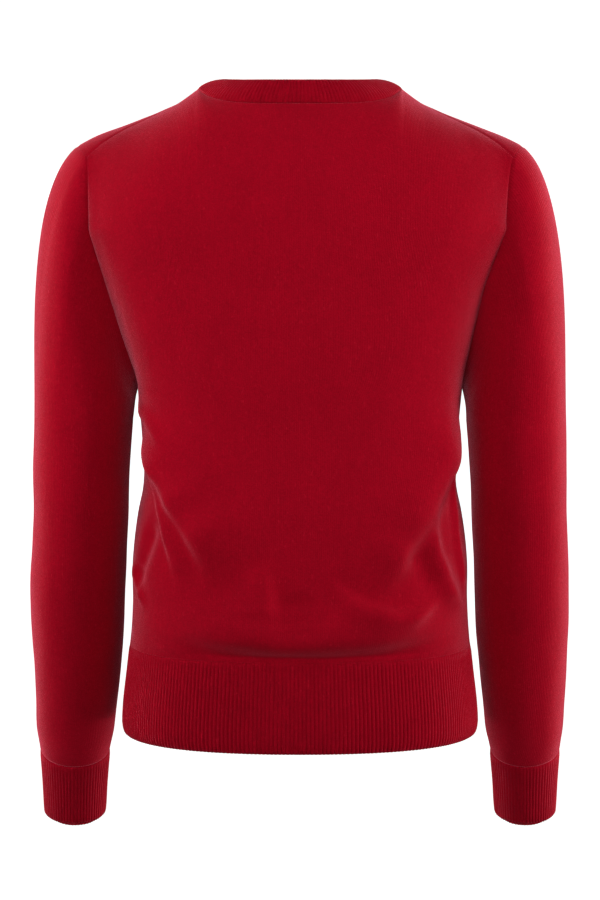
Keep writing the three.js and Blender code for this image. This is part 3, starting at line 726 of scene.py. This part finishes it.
def knit(name, columns, rows, place, relief, cut, inside, closed=False):
    """Mesh object of a knitted piece.

    place, relief and cut take a point's shares, -1 to 1 across and 0 to 1 up. They give its place
    and its rise in millimetres, and its place on the flat cut in metres. inside is a point on the
    inner side of the piece, in metres.
    """
    bm = bmesh.new()
    flat = bm.loops.layers.uv.new("cut")
    across_layer = bm.verts.layers.float.new("across")
    up_layer = bm.verts.layers.float.new("up")
    bmesh.ops.create_grid(bm, x_segments=columns, y_segments=rows, size=1, calc_uvs=True)
    for face in bm.faces:
        for loop in face.loops:
            loop[flat].uv = cut(loop.vert.co.x, (loop.vert.co.y + 1) / 2)
    for vert in bm.verts:
        across, up = vert.co.x, (vert.co.y + 1) / 2
        vert[across_layer] = across
        vert[up_layer] = up
        vert.co = place(across, up) * MM
    if closed:
        bmesh.ops.remove_doubles(bm, verts=bm.verts, dist=1e-6)
    bm.normal_update()
    outward = sum(face.normal.dot(face.calc_center_median() - inside) for face in bm.faces)
    if outward < 0:
        bmesh.ops.reverse_faces(bm, faces=bm.faces)
        bm.normal_update()
    moves = [vert.normal * (relief(vert[across_layer], vert[up_layer]) * MM) for vert in bm.verts]
    for vert, move in zip(bm.verts, moves):
        vert.co += move
    return put_down(name, bm)


def put_down(name, bm):
    """Smooth object of a finished bmesh, in the scene."""
    mesh = bpy.data.meshes.new(name)
    bm.to_mesh(mesh)
    bm.free()
    mesh.shade_smooth()
    thing = bpy.data.objects.new(name, mesh)
    bpy.context.scene.collection.objects.link(thing)
    return thing


def finish_piece(piece, scene, node, slot):
    """Gives a knitted piece its wall and finish, hangs it on the root body and hides the part it
    stands for.
    """
    wall, finish = {
        "jersey_knit": (scene.sweater_sizes.jersey_wall, jersey_knit),
        "rib_knit": (scene.sweater_sizes.rib_wall, rib_knit),
    }[slot]
    solid = piece.modifiers.new("Wall", "SOLIDIFY")
    solid.thickness = wall
    solid.offset = -1
    piece.data.materials.append(finish(scene))
    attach(piece, "root")
    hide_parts(node)


class Wires:
    """Adds shader nodes to a tree and joins them up."""

    def __init__(self, tree):
        self.tree = tree

    def add(self, kind, *values, **settings):
        """A new node with its first inputs filled in, in order, by numbers or by sockets."""
        new = self.tree.nodes.new(kind)
        for key, value in settings.items():
            setattr(new, key, value)
        for socket, value in zip(new.inputs, values):
            self.fill(socket, value)
        return new

    def fill(self, socket, value):
        """Links a socket, or sets it."""
        if isinstance(value, bpy.types.NodeSocket):
            self.tree.links.new(value, socket)
        elif value is not None:
            socket.default_value = value

    def fill_named(self, node, values):
        """Fills a node's inputs by their labels."""
        for label, value in values.items():
            self.fill(node.inputs[label], value)

    def math(self, operation, a, b=None, c=None):
        """Result of a sum on numbers or sockets."""
        return self.add("ShaderNodeMath", a, b, c, operation=operation).outputs[0]

    def ramp(self, value, low, high):
        """Value stretched from low to high onto 0 to 1, held at both ends."""
        return self.add("ShaderNodeMapRange", value, low, high, 0.0, 1.0).outputs[0]

    def noise(self, vector, scale, detail=2.0, roughness=0.5):
        """Noise from 0 to 1 at a point."""
        new = self.add("ShaderNodeTexNoise")
        self.fill_named(
            new, {"Vector": vector, "Scale": scale, "Detail": detail, "Roughness": roughness}
        )
        return new.outputs["Fac"]

    def mix(self, share, a, b):
        """Colour mixed from a to b by a share."""
        new = self.tree.nodes.new("ShaderNodeMix")
        new.data_type = "RGBA"
        for socket in new.inputs:
            if socket.name == "Factor" and socket.type == "VALUE":
                self.fill(socket, share)
            elif socket.type == "RGBA" and socket.name in "AB":
                self.fill(socket, a if socket.name == "A" else b)
        return next(s for s in new.outputs if s.type == "RGBA")


def new_group(name, inputs, outputs):
    """Empty shader group with the named sockets, and its wires, inlets and outlets."""
    tree = bpy.data.node_groups.new(name, "ShaderNodeTree")
    kinds = {"vector": "NodeSocketVector", "value": "NodeSocketFloat"}
    for label, (kind, value) in inputs.items():
        socket = tree.interface.new_socket(label, in_out="INPUT", socket_type=kinds[kind])
        if value is not None:
            socket.default_value = value
    for label, kind in outputs.items():
        tree.interface.new_socket(label, in_out="OUTPUT", socket_type=kinds[kind])
    wires = Wires(tree)
    return wires, wires.add("NodeGroupInput").outputs, wires.add("NodeGroupOutput").inputs


def knit_stitches():
    """Group for rows of knit stitches: slanted legs in pairs, one above the other, and a mask that
    marks where shade is painted between the columns.
    """
    found = bpy.data.node_groups.get("Knit stitches")
    if found:
        return found
    wires, inlet, outlet = new_group(
        "Knit stitches",
        {
            "Cut": ("vector", None),
            "Wale": ("value", 0.0017),
            "Course": ("value", 0.0013),
            "Slant": ("value", 0.7),
        },
        {"Height": "value", "Painted shade": "value"},
    )
    spot = wires.add("ShaderNodeSeparateXYZ", inlet["Cut"]).outputs
    wale = wires.math("FRACT", wires.math("DIVIDE", spot[0], inlet["Wale"]))
    side = wires.math("MULTIPLY", wires.math("ABSOLUTE", wires.math("SUBTRACT", wale, 0.5)), 2.0)
    slanted = wires.math("MULTIPLY", side, inlet["Slant"])
    row = wires.math("ADD", wires.math("DIVIDE", spot[1], inlet["Course"]), slanted)
    leg = wires.math("SINE", wires.math("MULTIPLY", wires.math("FRACT", row), math.pi))
    bed = wires.math("SUBTRACT", 1.0, wires.math("POWER", side, 3.0))
    plump = wires.math("MULTIPLY_ADD", leg, 0.45, 0.55)
    wires.fill(outlet["Height"], wires.math("MULTIPLY", bed, plump))
    # Mask for painted shade: near 1 between the stitch columns, where the colour is darkened.
    wires.fill(outlet["Painted shade"], wires.math("POWER", side, 5.0))
    return wires.tree


def brushed_nap():
    """Group for a brushed cashmere face: soft blotches, streaks along the wales and fibre tips."""
    found = bpy.data.node_groups.get("Brushed nap")
    if found:
        return found
    wires, inlet, outlet = new_group(
        "Brushed nap",
        {
            "Place": ("vector", None),
            "Cut": ("vector", None),
            "Blotch": ("value", 220.0),
            "Streak": ("value", 420.0),
            "Fibre": ("value", 800.0),
            "Specks": ("value", 0.66),
        },
        {"Height": "value", "Shade": "value", "Tips": "value"},
    )
    blotch = wires.noise(inlet["Place"], inlet["Blotch"], 3.0, 0.6)
    patch = wires.noise(inlet["Place"], wires.math("MULTIPLY", inlet["Blotch"], 0.13), 2.0, 0.5)
    long = wires.add("ShaderNodeVectorMath", inlet["Cut"], (1.0, 0.09, 1.0), operation="MULTIPLY")
    streak = wires.noise(long.outputs[0], inlet["Streak"], 2.0, 0.5)
    fibre = wires.noise(inlet["Place"], inlet["Fibre"], 2.0, 0.7)
    lying = wires.add(
        "ShaderNodeVectorMath", inlet["Place"], (1.0, 1.0, 0.35), operation="MULTIPLY"
    )
    tips = wires.noise(lying.outputs[0], wires.math("MULTIPLY", inlet["Fibre"], 0.8), 1.0, 0.5)
    speck = wires.ramp(tips, inlet["Specks"], wires.math("ADD", inlet["Specks"], 0.1))
    shade = wires.math("MULTIPLY", blotch, 0.18)
    for grain, weight in ((patch, 0.12), (streak, 0.12), (fibre, 0.58)):
        shade = wires.math("MULTIPLY_ADD", grain, weight, shade)
    height = wires.math("MULTIPLY_ADD", blotch, 0.25, wires.math("MULTIPLY", fibre, 0.9))
    wires.fill(outlet["Height"], wires.math("MULTIPLY_ADD", speck, 0.15, height))
    wires.fill(outlet["Shade"], shade)
    wires.fill(outlet["Tips"], speck)
    return wires.tree


def tone(colour, factor=1.0):
    """Colour for a socket, lightened or darkened by a factor."""
    return (*(min(1.0, channel * factor) for channel in colour), 1.0)


def cashmere(name, colour, nap, wale, course, slant, painted_gap_shade, sheen):
    """Material of a knitted cashmere: stitches along the cut under a brushed nap, with shade
    painted between the stitch columns, or between the ribs of a rib knit.
    """
    material = bpy.data.materials.get(name)
    if material:
        return material
    material = bpy.data.materials.new(name)
    material.use_nodes = True
    wires = Wires(material.node_tree)
    shader = next(n for n in material.node_tree.nodes if n.type == "BSDF_PRINCIPLED")
    cut = wires.add("ShaderNodeUVMap", uv_map="cut").outputs["UV"]
    place = wires.add("ShaderNodeTexCoord").outputs["Object"]
    stitches = wires.add("ShaderNodeGroup", node_tree=knit_stitches())
    wires.fill_named(stitches, {"Cut": cut, "Wale": wale, "Course": course, "Slant": slant})
    fuzz = wires.add("ShaderNodeGroup", node_tree=brushed_nap())
    wires.fill_named(fuzz, {"Place": place, "Cut": cut})
    shade = wires.ramp(fuzz.outputs["Shade"], *SHADE_RANGE)
    yarn = wires.mix(shade, tone(colour, YARN_DEEP), tone(colour, YARN_LIGHT))
    # Painted shade: the yarn colour is darkened between the stitch columns, and in the valleys
    # between the ribs of the rib knit.
    painted_shade_mask = wires.math("MULTIPLY", stitches.outputs["Painted shade"], painted_gap_shade)
    yarn = wires.mix(painted_shade_mask, yarn, tone(colour, PAINTED_GAP_TONE))
    tips = wires.math("MULTIPLY", fuzz.outputs["Tips"], TIP_SHARE)
    wires.fill(shader.inputs["Base Color"], wires.mix(tips, yarn, tone(nap)))
    rough = wires.math("MULTIPLY_ADD", fuzz.outputs["Shade"], NAP_GLOSS, 1.0)
    wires.fill(shader.inputs["Roughness"], rough)
    height = wires.math("MULTIPLY_ADD", stitches.outputs["Height"], STITCH_RELIEF,
                        fuzz.outputs["Height"])
    bump = wires.add("ShaderNodeBump")
    wires.fill_named(
        bump, {"Strength": BUMP_STRENGTH, "Distance": BUMP_HEIGHT, "Height": height}
    )
    wires.fill(shader.inputs["Normal"], bump.outputs["Normal"])
    shader.inputs["Specular IOR Level"].default_value = WOOL_GLOSS
    shader.inputs["Sheen Weight"].default_value = sheen
    shader.inputs["Sheen Roughness"].default_value = SHEEN_ROUGHNESS
    shader.inputs["Sheen Tint"].default_value = SHEEN_TINT
    return material


def jersey_knit(scene):
    """The plain knit of the panels and sleeves."""
    sizes, colours = scene.sweater_sizes, scene.sweater_colours
    return cashmere(
        "cashmere_jersey", colours.jersey, colours.nap, sizes.wale, sizes.course,
        slant=0.7, painted_gap_shade=0.15, sheen=0.9,
    )


def rib_knit(scene):
    """The ribbed knit of the neckband, hem and cuffs."""
    sizes, colours = scene.sweater_sizes, scene.sweater_colours
    return cashmere(
        "cashmere_rib", colours.rib, colours.nap, sizes.rib_pitch, sizes.course,
        slant=1.1, painted_gap_shade=0.25, sheen=0.6,
    )


def rib_rise(step, height, along, seed, pace=0.4):
    """Rise of an uneven rib at a step that counts ribs: 0 in the valley and full on its crown."""
    wander = noise.noise(Vector((step * pace, along, seed)))
    crown = math.sin(math.pi * (step % 1.0))
    return height * (1 + RIB_UNEVEN * wander) * max(0.0, crown) ** RIB_CROWN


def rib_level(up, low, high):
    """Height of a row of a rib, with rows closer together at both ends."""
    if up < 0.5:
        return lerp(low, high, 0.5 * (2 * up) ** RIB_EASE_LOW)
    return lerp(low, high, 1 - 0.5 * (2 - 2 * up) ** RIB_EASE_HIGH)


def panel_across(across):
    """Share across a panel, with columns closer together beside its edges."""
    reach = abs(across)
    if reach > NECK_SHARE:
        past = (reach - NECK_SHARE) / (1 - NECK_SHARE)
        reach = NECK_SHARE + (1 - NECK_SHARE) * (1 - (1 - past) ** PANEL_COLUMN_EASE)
    return math.copysign(reach, across)


def panel_up(up):
    """Height of a panel's row below the yoke, or its share of the yoke, and whether it is yoke."""
    if up <= 1 - YOKE_PART + 1e-6:
        low = clamp(up / (1 - YOKE_PART))
        return lerp(HEM_SEAM_Z, YOKE_Z, low ** PANEL_ROW_EASE), False
    rise = (up - 1 + YOKE_PART) / YOKE_PART
    return 1 - (1 - rise) ** PANEL_ROW_EASE, True


def make_panel(side, scene):
    """Makes one of the two body panels, from the hem rib to the neck and shoulder seams."""
    sizes = scene.sweater_sizes
    depth = sizes.seam_depth / MM

    def place(across, up):
        share = panel_across(across)
        level, yoke = panel_up(up)
        point = yoke_point(side, share, level) if yoke else body_point(side, share, level)
        beside = (1 - abs(share)) * PANEL_REACH
        hand = "left" if share < 0 else "right"
        if yoke or level > UNDERARM_Z:
            point = dip(point, (armhole_middle(hand) - point).normalized(), beside, depth)
        else:
            point = dip(point, Vector((-HAND[hand], 0, 0)), beside, depth)
        if yoke and abs(share) < NECK_SHARE:
            inward = -neck_normal(side, share / NECK_SHARE * math.pi / 2)
            point = dip(point, inward, (1 - level) * YOKE_REACH, depth * NECK_DIP)
        elif yoke:
            point = dip(point, Vector((0, 0, -1)), (1 - level) * YOKE_REACH, depth)
        return point

    def relief(across, up):
        share = panel_across(across)
        level, yoke = panel_up(up)
        z = YOKE_Z + YOKE_REACH * level if yoke else level
        spot = Vector((share * PANEL_HALF_CUT, FACING[side] * PANEL_DEPTH, z))
        edge = min((1 - abs(share)) * PANEL_REACH, z - HEM_SEAM_Z, YOKE_Z + YOKE_REACH - z)
        slow = sum(ripple(spot, *wave) for wave in PANEL_RIPPLES)
        return slow * near_seam(edge, RIPPLE_FADE)

    def cut(across, up):
        level, yoke = panel_up(up)
        height = YOKE_Z - HEM_SEAM_Z + YOKE_CUT * level if yoke else level - HEM_SEAM_Z
        return panel_across(across) * PANEL_HALF_CUT * MM, height * MM

    piece = knit(
        f"{side}_panel_knit", *PANEL_GRID, place, relief, cut, inside=Vector((0, 0, -0.3)),
    )
    finish_piece(
        piece, scene, f"{side}_panel", "jersey_knit",
    )


def make_sleeve(hand, scene):
    """Makes one of the two set-in sleeves, from the armhole to the cuff seam."""
    sizes = scene.sweater_sizes
    depth = sizes.seam_depth / MM

    def level_of(up):
        if up <= CAP_PART + 1e-6:
            return clamp(up / CAP_PART) ** CAP_ROW_EASE, True
        low = (up - CAP_PART) / (1 - CAP_PART)
        return lerp(CAP_END_Z, CUFF_SEAM_Z, 1 - (1 - low) ** SLEEVE_ROW_EASE), False

    def place(across, up):
        share = (across + 1) / 2
        level, cap = level_of(up)
        if cap:
            point = cap_point(hand, share, level)
            seam = armhole_point(hand, share)
            inward = (armhole_middle(hand) - seam).normalized()
            return dip(point, inward, (point - seam).length, depth)
        point, radial = sleeve_ring(hand, level, share)
        return dip(point, -radial, level - CUFF_SEAM_Z, depth * CUFF_DIP)

    def relief(across, up):
        level, cap = level_of(up)
        turn = (across + 1) * math.pi
        z = lerp(CAP_MIDDLE_Z, CAP_END_Z, level) if cap else level
        x = SLEEVE_RADIUS * math.cos(turn) * HAND[hand]
        spot = Vector((x, SLEEVE_RADIUS * math.sin(turn), z))
        reach = lerp(*CAP_LENGTHS, (1 - math.cos(turn)) / 2)
        edge = min(level * reach if cap else math.inf, z - CUFF_SEAM_Z)
        (size, height, seed), fine = SLEEVE_RIPPLES
        slow = ripple(spot, size, height, seed + HAND[hand]) + ripple(spot, *fine)
        return slow * near_seam(edge, RIPPLE_FADE)

    def cut(across, up):
        level, cap = level_of(up)
        if cap:
            return across * SLEEVE_HALF_CUT * MM, (SLEEVE_CUT + CAP_CUT * (1 - level)) * MM
        girth = math.pi * (read(SLEEVE, "z", "wide", level) + read(SLEEVE, "z", "thick", level))
        return across * girth / 2 * MM, (level - CUFF_SEAM_Z) * MM

    piece = knit(
        f"sleeve_{hand}_knit", *SLEEVE_GRID, place, relief, cut,
        inside=Vector((HAND[hand] * 0.196, 0, -0.36)), closed=True,
    )
    finish_piece(
        piece, scene, f"sleeve_{hand}", "jersey_knit",
    )


def make_hem(side, scene):
    """Makes one half of the hem rib."""
    sizes = scene.sweater_sizes
    ribs = round(HEM_GIRTH * MM / sizes.rib_pitch)
    height = sizes.rib_relief / MM
    depth = sizes.seam_depth / MM

    def place(across, up):
        z = rib_level(up, HEM_Z, HEM_SEAM_Z)
        width, reach = read_body(z, "half"), read_body(z, side)
        full = read_body(z, "full")
        angle = across * math.pi / 2
        swelling = swell(angle, full)
        point = Vector((
            width * math.sin(angle) * swelling,
            FACING[side] * reach * math.cos(angle) * swelling,
            z,
        ))
        side_inward = Vector((-math.copysign(1, across), 0, 0))
        return dip(point, side_inward, (1 - abs(across)) * HEM_REACH, depth)

    def relief(across, up):
        z = rib_level(up, HEM_Z, HEM_SEAM_Z)
        fade = near_seam(HEM_SEAM_Z - z, RIB_FADE) * clamp((1 - abs(across)) * HEM_SIDE_FADE)
        step = (across + 1) / 2 * ribs
        rise = rib_rise(step, height, z / HEM_RIB_WAVE, FACING[side] * 5, 0.35) * fade
        return rise + turn_in(z - HEM_Z)

    def cut(across, up):
        height = rib_level(up, HEM_Z, HEM_SEAM_Z) - HEM_Z
        return (across + 1) / 2 * ribs * sizes.rib_pitch, height * MM

    piece = knit(
        f"hem_rib_{side}_knit", ribs * RIB_COLUMNS, RIB_ROWS, place, relief, cut,
        inside=Vector((0, 0, -0.52)),
    )
    finish_piece(
        piece, scene, f"hem_rib_{side}", "rib_knit",
    )


def make_cuff(hand, scene):
    """Makes one of the two ribbed cuffs."""
    sizes = scene.sweater_sizes
    ribs = round(2 * math.pi * CUFF_RADIUS * MM / sizes.rib_pitch)
    height = sizes.rib_relief / MM
    depth = sizes.seam_depth / MM

    def place(across, up):
        z = rib_level(up, CUFF_END_Z, CUFF_SEAM_Z)
        point, radial = sleeve_ring(hand, z, (across + 1) / 2)
        return dip(point, -radial, CUFF_SEAM_Z - z, depth * CUFF_DIP)

    def relief(across, up):
        z = rib_level(up, CUFF_END_Z, CUFF_SEAM_Z)
        step = (across + 1) / 2 * ribs
        fade = near_seam(CUFF_SEAM_Z - z, RIB_FADE)
        rise = rib_rise(step, height, z / CUFF_RIB_WAVE, HAND[hand] * 3) * fade
        return rise + turn_in(z - CUFF_END_Z)

    def cut(across, up):
        height = rib_level(up, CUFF_END_Z, CUFF_SEAM_Z) - CUFF_END_Z
        return (across + 1) / 2 * ribs * sizes.rib_pitch, height * MM

    piece = knit(
        f"cuff_{hand}_knit", ribs * RIB_COLUMNS, RIB_ROWS, place, relief, cut,
        inside=Vector((HAND[hand] * 0.209, 0.074, -0.63)), closed=True,
    )
    finish_piece(
        piece, scene, f"cuff_{hand}", "rib_knit",
    )


def make_neckband(scene):
    """Makes the neckband, a closed rib that follows the neck seam."""
    sizes = scene.sweater_sizes
    height = sizes.rib_relief / MM * BAND_RELIEF
    depth = sizes.seam_depth / MM

    def spoke(across):
        turn = (across + 1) * math.pi
        side = "back" if turn <= math.pi / 2 or turn >= 1.5 * math.pi else "front"
        if side == "front":
            return side, math.pi - turn
        return side, turn - 2 * math.pi if turn > math.pi else turn

    @functools.lru_cache(maxsize=None)
    def lines(across):
        side, angle = spoke(across)
        foot, edge = neck_seam(side, angle), band_edge(side, angle)
        run = band_edge(side, angle + EDGE_STEP) - band_edge(side, angle - EDGE_STEP)
        leaf = run.cross(edge - foot).normalized() * -FACING[side]
        return foot, edge, neck_normal(side, angle), leaf

    def place(across, up):
        foot, edge, foot_normal, leaf = lines(across)
        normal = lerp(foot_normal, leaf, clamp(up * 2)).normalized()
        point = lerp(foot, edge, up) + normal * (BAND_ROLL * 4 * up * (1 - up))
        return dip(point, -foot_normal, up * (edge - foot).length, depth * NECK_DIP)

    def relief(across, up):
        step = (across + 1) / 2 * BAND_RIBS
        foot, edge, _, _ = lines(across)
        wide = (edge - foot).length
        rise = rib_rise(step, height, up, 9) * clamp(up * wide / BAND_RIB_FADE)
        return rise + turn_in((1 - up) * wide)

    def cut(across, up):
        return (across + 1) / 2 * BAND_RIBS * sizes.rib_pitch, up * BAND_CUT * MM

    piece = knit(
        "neckband_knit", BAND_RIBS * RIB_COLUMNS, BAND_ROWS, place, relief, cut,
        inside=Vector((0, 0, -0.06)), closed=True,
    )
    finish_piece(
        piece, scene, "neckband", "rib_knit",
    )


def make_floor(scene):
    """Makes the pale floor, which curves up all round."""
    flat = STAGE_RADIUS - STAGE_BEND
    corners = [(0, FLOOR_Z), (flat, FLOOR_Z)]
    for step in range(1, BEND_STEPS + 1):
        turn = step * math.pi / (2 * BEND_STEPS)
        height = FLOOR_Z + STAGE_BEND * (1 - math.cos(turn))
        corners.append((flat + STAGE_BEND * math.sin(turn), height))
    corners.append((STAGE_RADIUS, STAGE_TOP_Z))
    bm = bmesh.new()
    profile = [bm.verts.new((x, 0, z)) for x, z in corners]
    edges = [bm.edges.new(pair) for pair in zip(profile, profile[1:])]
    bmesh.ops.spin(
        bm, geom=profile + edges, cent=(0, 0, 0), axis=(0, 0, 1), angle=2 * math.pi,
        steps=STAGE_SIDES, use_merge=True,
    )
    bmesh.ops.remove_doubles(bm, verts=bm.verts, dist=1e-5)
    bm.normal_update()
    if sum(face.normal.z for face in bm.faces) < 0:
        bmesh.ops.reverse_faces(bm, faces=bm.faces)
    floor = put_down("studio_floor", bm)
    floor.data.materials.append(studio_white(scene.sweater_colours.floor))


def turned_to(direction):
    """Turn of a light or camera that faces along a direction."""
    return direction.to_track_quat("-Z", "Y").to_euler()


def make_lights(scene):
    """Sets the light from all round and the soft area lights."""
    world = bpy.data.worlds.new("studio")
    world.use_nodes = True
    backdrop = next(n for n in world.node_tree.nodes if n.type == "BACKGROUND")
    backdrop.inputs["Color"].default_value = (1.0, 1.0, 1.0, 1.0)
    backdrop.inputs["Strength"].default_value = ROOM_LIGHT
    scene.world = world
    for row in LIGHTS:
        data = bpy.data.lights.new(row["name"], "AREA")
        data.shape = "RECTANGLE"
        data.size = row["width"]
        data.size_y = row["height"]
        data.energy = row["power"]
        data.spread = math.radians(row["spread"])
        light = bpy.data.objects.new(row["name"], data)
        light.location = row["place"]
        light.rotation_euler = turned_to(Vector(row["aim"]) - Vector(row["place"]))
        light.visible_camera = False
        scene.collection.objects.link(light)


def make_camera(scene):
    """Sets the camera behind the wearer, looking slightly down."""
    data = bpy.data.cameras.new("camera")
    data.lens = CAMERA_LENS
    data.sensor_width = CAMERA_FILM
    data.dof.use_dof = False
    camera = bpy.data.objects.new("camera", data)
    camera.location = CAMERA_PLACE
    down = math.radians(CAMERA_DOWN)
    camera.rotation_euler = turned_to(Vector((0, math.cos(down), -math.sin(down))))
    scene.collection.objects.link(camera)
    scene.camera = camera
    scene.view_settings.view_transform = "Standard"


def studio_white(colour):
    """Plain pale finish of the floor, evenly lit up to the edge of sight."""
    material = bpy.data.materials.new("studio_white")
    material.use_nodes = True
    wires = Wires(material.node_tree)
    shader = next(n for n in material.node_tree.nodes if n.type == "BSDF_PRINCIPLED")
    place = wires.add("ShaderNodeTexCoord").outputs["Object"]
    grain = wires.noise(place, 40.0, 3.0)
    tint = wires.mix(wires.ramp(grain, 0.3, 0.7), tone(colour), tone(colour, 0.97))
    wires.fill(shader.inputs["Base Color"], tint)
    shader.inputs["Roughness"].default_value = 0.9
    shader.inputs["Specular IOR Level"].default_value = 0.1
    seen = wires.add("ShaderNodeLightPath").outputs["Is Camera Ray"]
    shader.inputs["Emission Color"].default_value = (1.0, 1.0, 1.0, 1.0)
    glow = wires.math("MULTIPLY_ADD", seen, FLOOR_SEEN, FLOOR_GLOW)
    wires.fill(shader.inputs["Emission Strength"], glow)
    return material


class SWEATER_OT_panels(bpy.types.Operator):
    """Models the back and front panels in plain knit"""

    bl_idname = "sweater.panels"
    bl_label = "Body Panels"
    bl_options = {"REGISTER", "UNDO"}

    def execute(self, context):
        for side in FACING:
            make_panel(side, context.scene)
        return {"FINISHED"}


class SWEATER_OT_sleeves(bpy.types.Operator):
    """Models the two set-in sleeves in plain knit"""

    bl_idname = "sweater.sleeves"
    bl_label = "Sleeves"
    bl_options = {"REGISTER", "UNDO"}

    def execute(self, context):
        for hand in HAND:
            make_sleeve(hand, context.scene)
        return {"FINISHED"}


class SWEATER_OT_neckband(bpy.types.Operator):
    """Models the ribbed neckband"""

    bl_idname = "sweater.neckband"
    bl_label = "Neckband"
    bl_options = {"REGISTER", "UNDO"}

    def execute(self, context):
        make_neckband(context.scene)
        return {"FINISHED"}


class SWEATER_OT_hem(bpy.types.Operator):
    """Models the two halves of the hem rib"""

    bl_idname = "sweater.hem"
    bl_label = "Hem Rib"
    bl_options = {"REGISTER", "UNDO"}

    def execute(self, context):
        for side in FACING:
            make_hem(side, context.scene)
        return {"FINISHED"}


class SWEATER_OT_cuffs(bpy.types.Operator):
    """Models the two ribbed cuffs"""

    bl_idname = "sweater.cuffs"
    bl_label = "Cuffs"
    bl_options = {"REGISTER", "UNDO"}

    def execute(self, context):
        for hand in HAND:
            make_cuff(hand, context.scene)
        return {"FINISHED"}


class SWEATER_OT_stage(bpy.types.Operator):
    """Sets up the pale floor, the soft lights and the camera"""

    bl_idname = "sweater.stage"
    bl_label = "Stage"
    bl_options = {"REGISTER", "UNDO"}

    def execute(self, context):
        for make in (make_floor, make_lights, make_camera):
            make(context.scene)
        return {"FINISHED"}


class SWEATER_PT_panel(bpy.types.Panel):
    """Lists the sweater's pieces, sizes and colours"""

    bl_idname = "SWEATER_PT_panel"
    bl_label = "Crewneck Sweater"
    bl_space_type = "VIEW_3D"
    bl_region_type = "UI"
    bl_category = "Sweater"

    def draw(self, context):
        column = self.layout.column()
        for group in (context.scene.sweater_sizes, context.scene.sweater_colours):
            for name in type(group).__annotations__:
                column.prop(group, name)
        for operator in OPERATORS:
            column.operator(operator.bl_idname)


OPERATORS = (
    SWEATER_OT_panels,
    SWEATER_OT_sleeves,
    SWEATER_OT_neckband,
    SWEATER_OT_hem,
    SWEATER_OT_cuffs,
    SWEATER_OT_stage,
)
CLASSES = (SweaterSizes, SweaterColours, *OPERATORS, SWEATER_PT_panel)


def register():
    for cls in CLASSES:
        bpy.utils.register_class(cls)
    bpy.types.Scene.sweater_sizes = bpy.props.PointerProperty(type=SweaterSizes)
    bpy.types.Scene.sweater_colours = bpy.props.PointerProperty(type=SweaterColours)


def unregister():
    del bpy.types.Scene.sweater_colours
    del bpy.types.Scene.sweater_sizes
    for cls in reversed(CLASSES):
        bpy.utils.unregister_class(cls)


def main():
    register()
    bpy.ops.sweater.panels()
    bpy.ops.sweater.sleeves()
    bpy.ops.sweater.neckband()
    bpy.ops.sweater.hem()
    bpy.ops.sweater.cuffs()
    bpy.ops.sweater.stage()


if __name__ == "__main__":
    main()
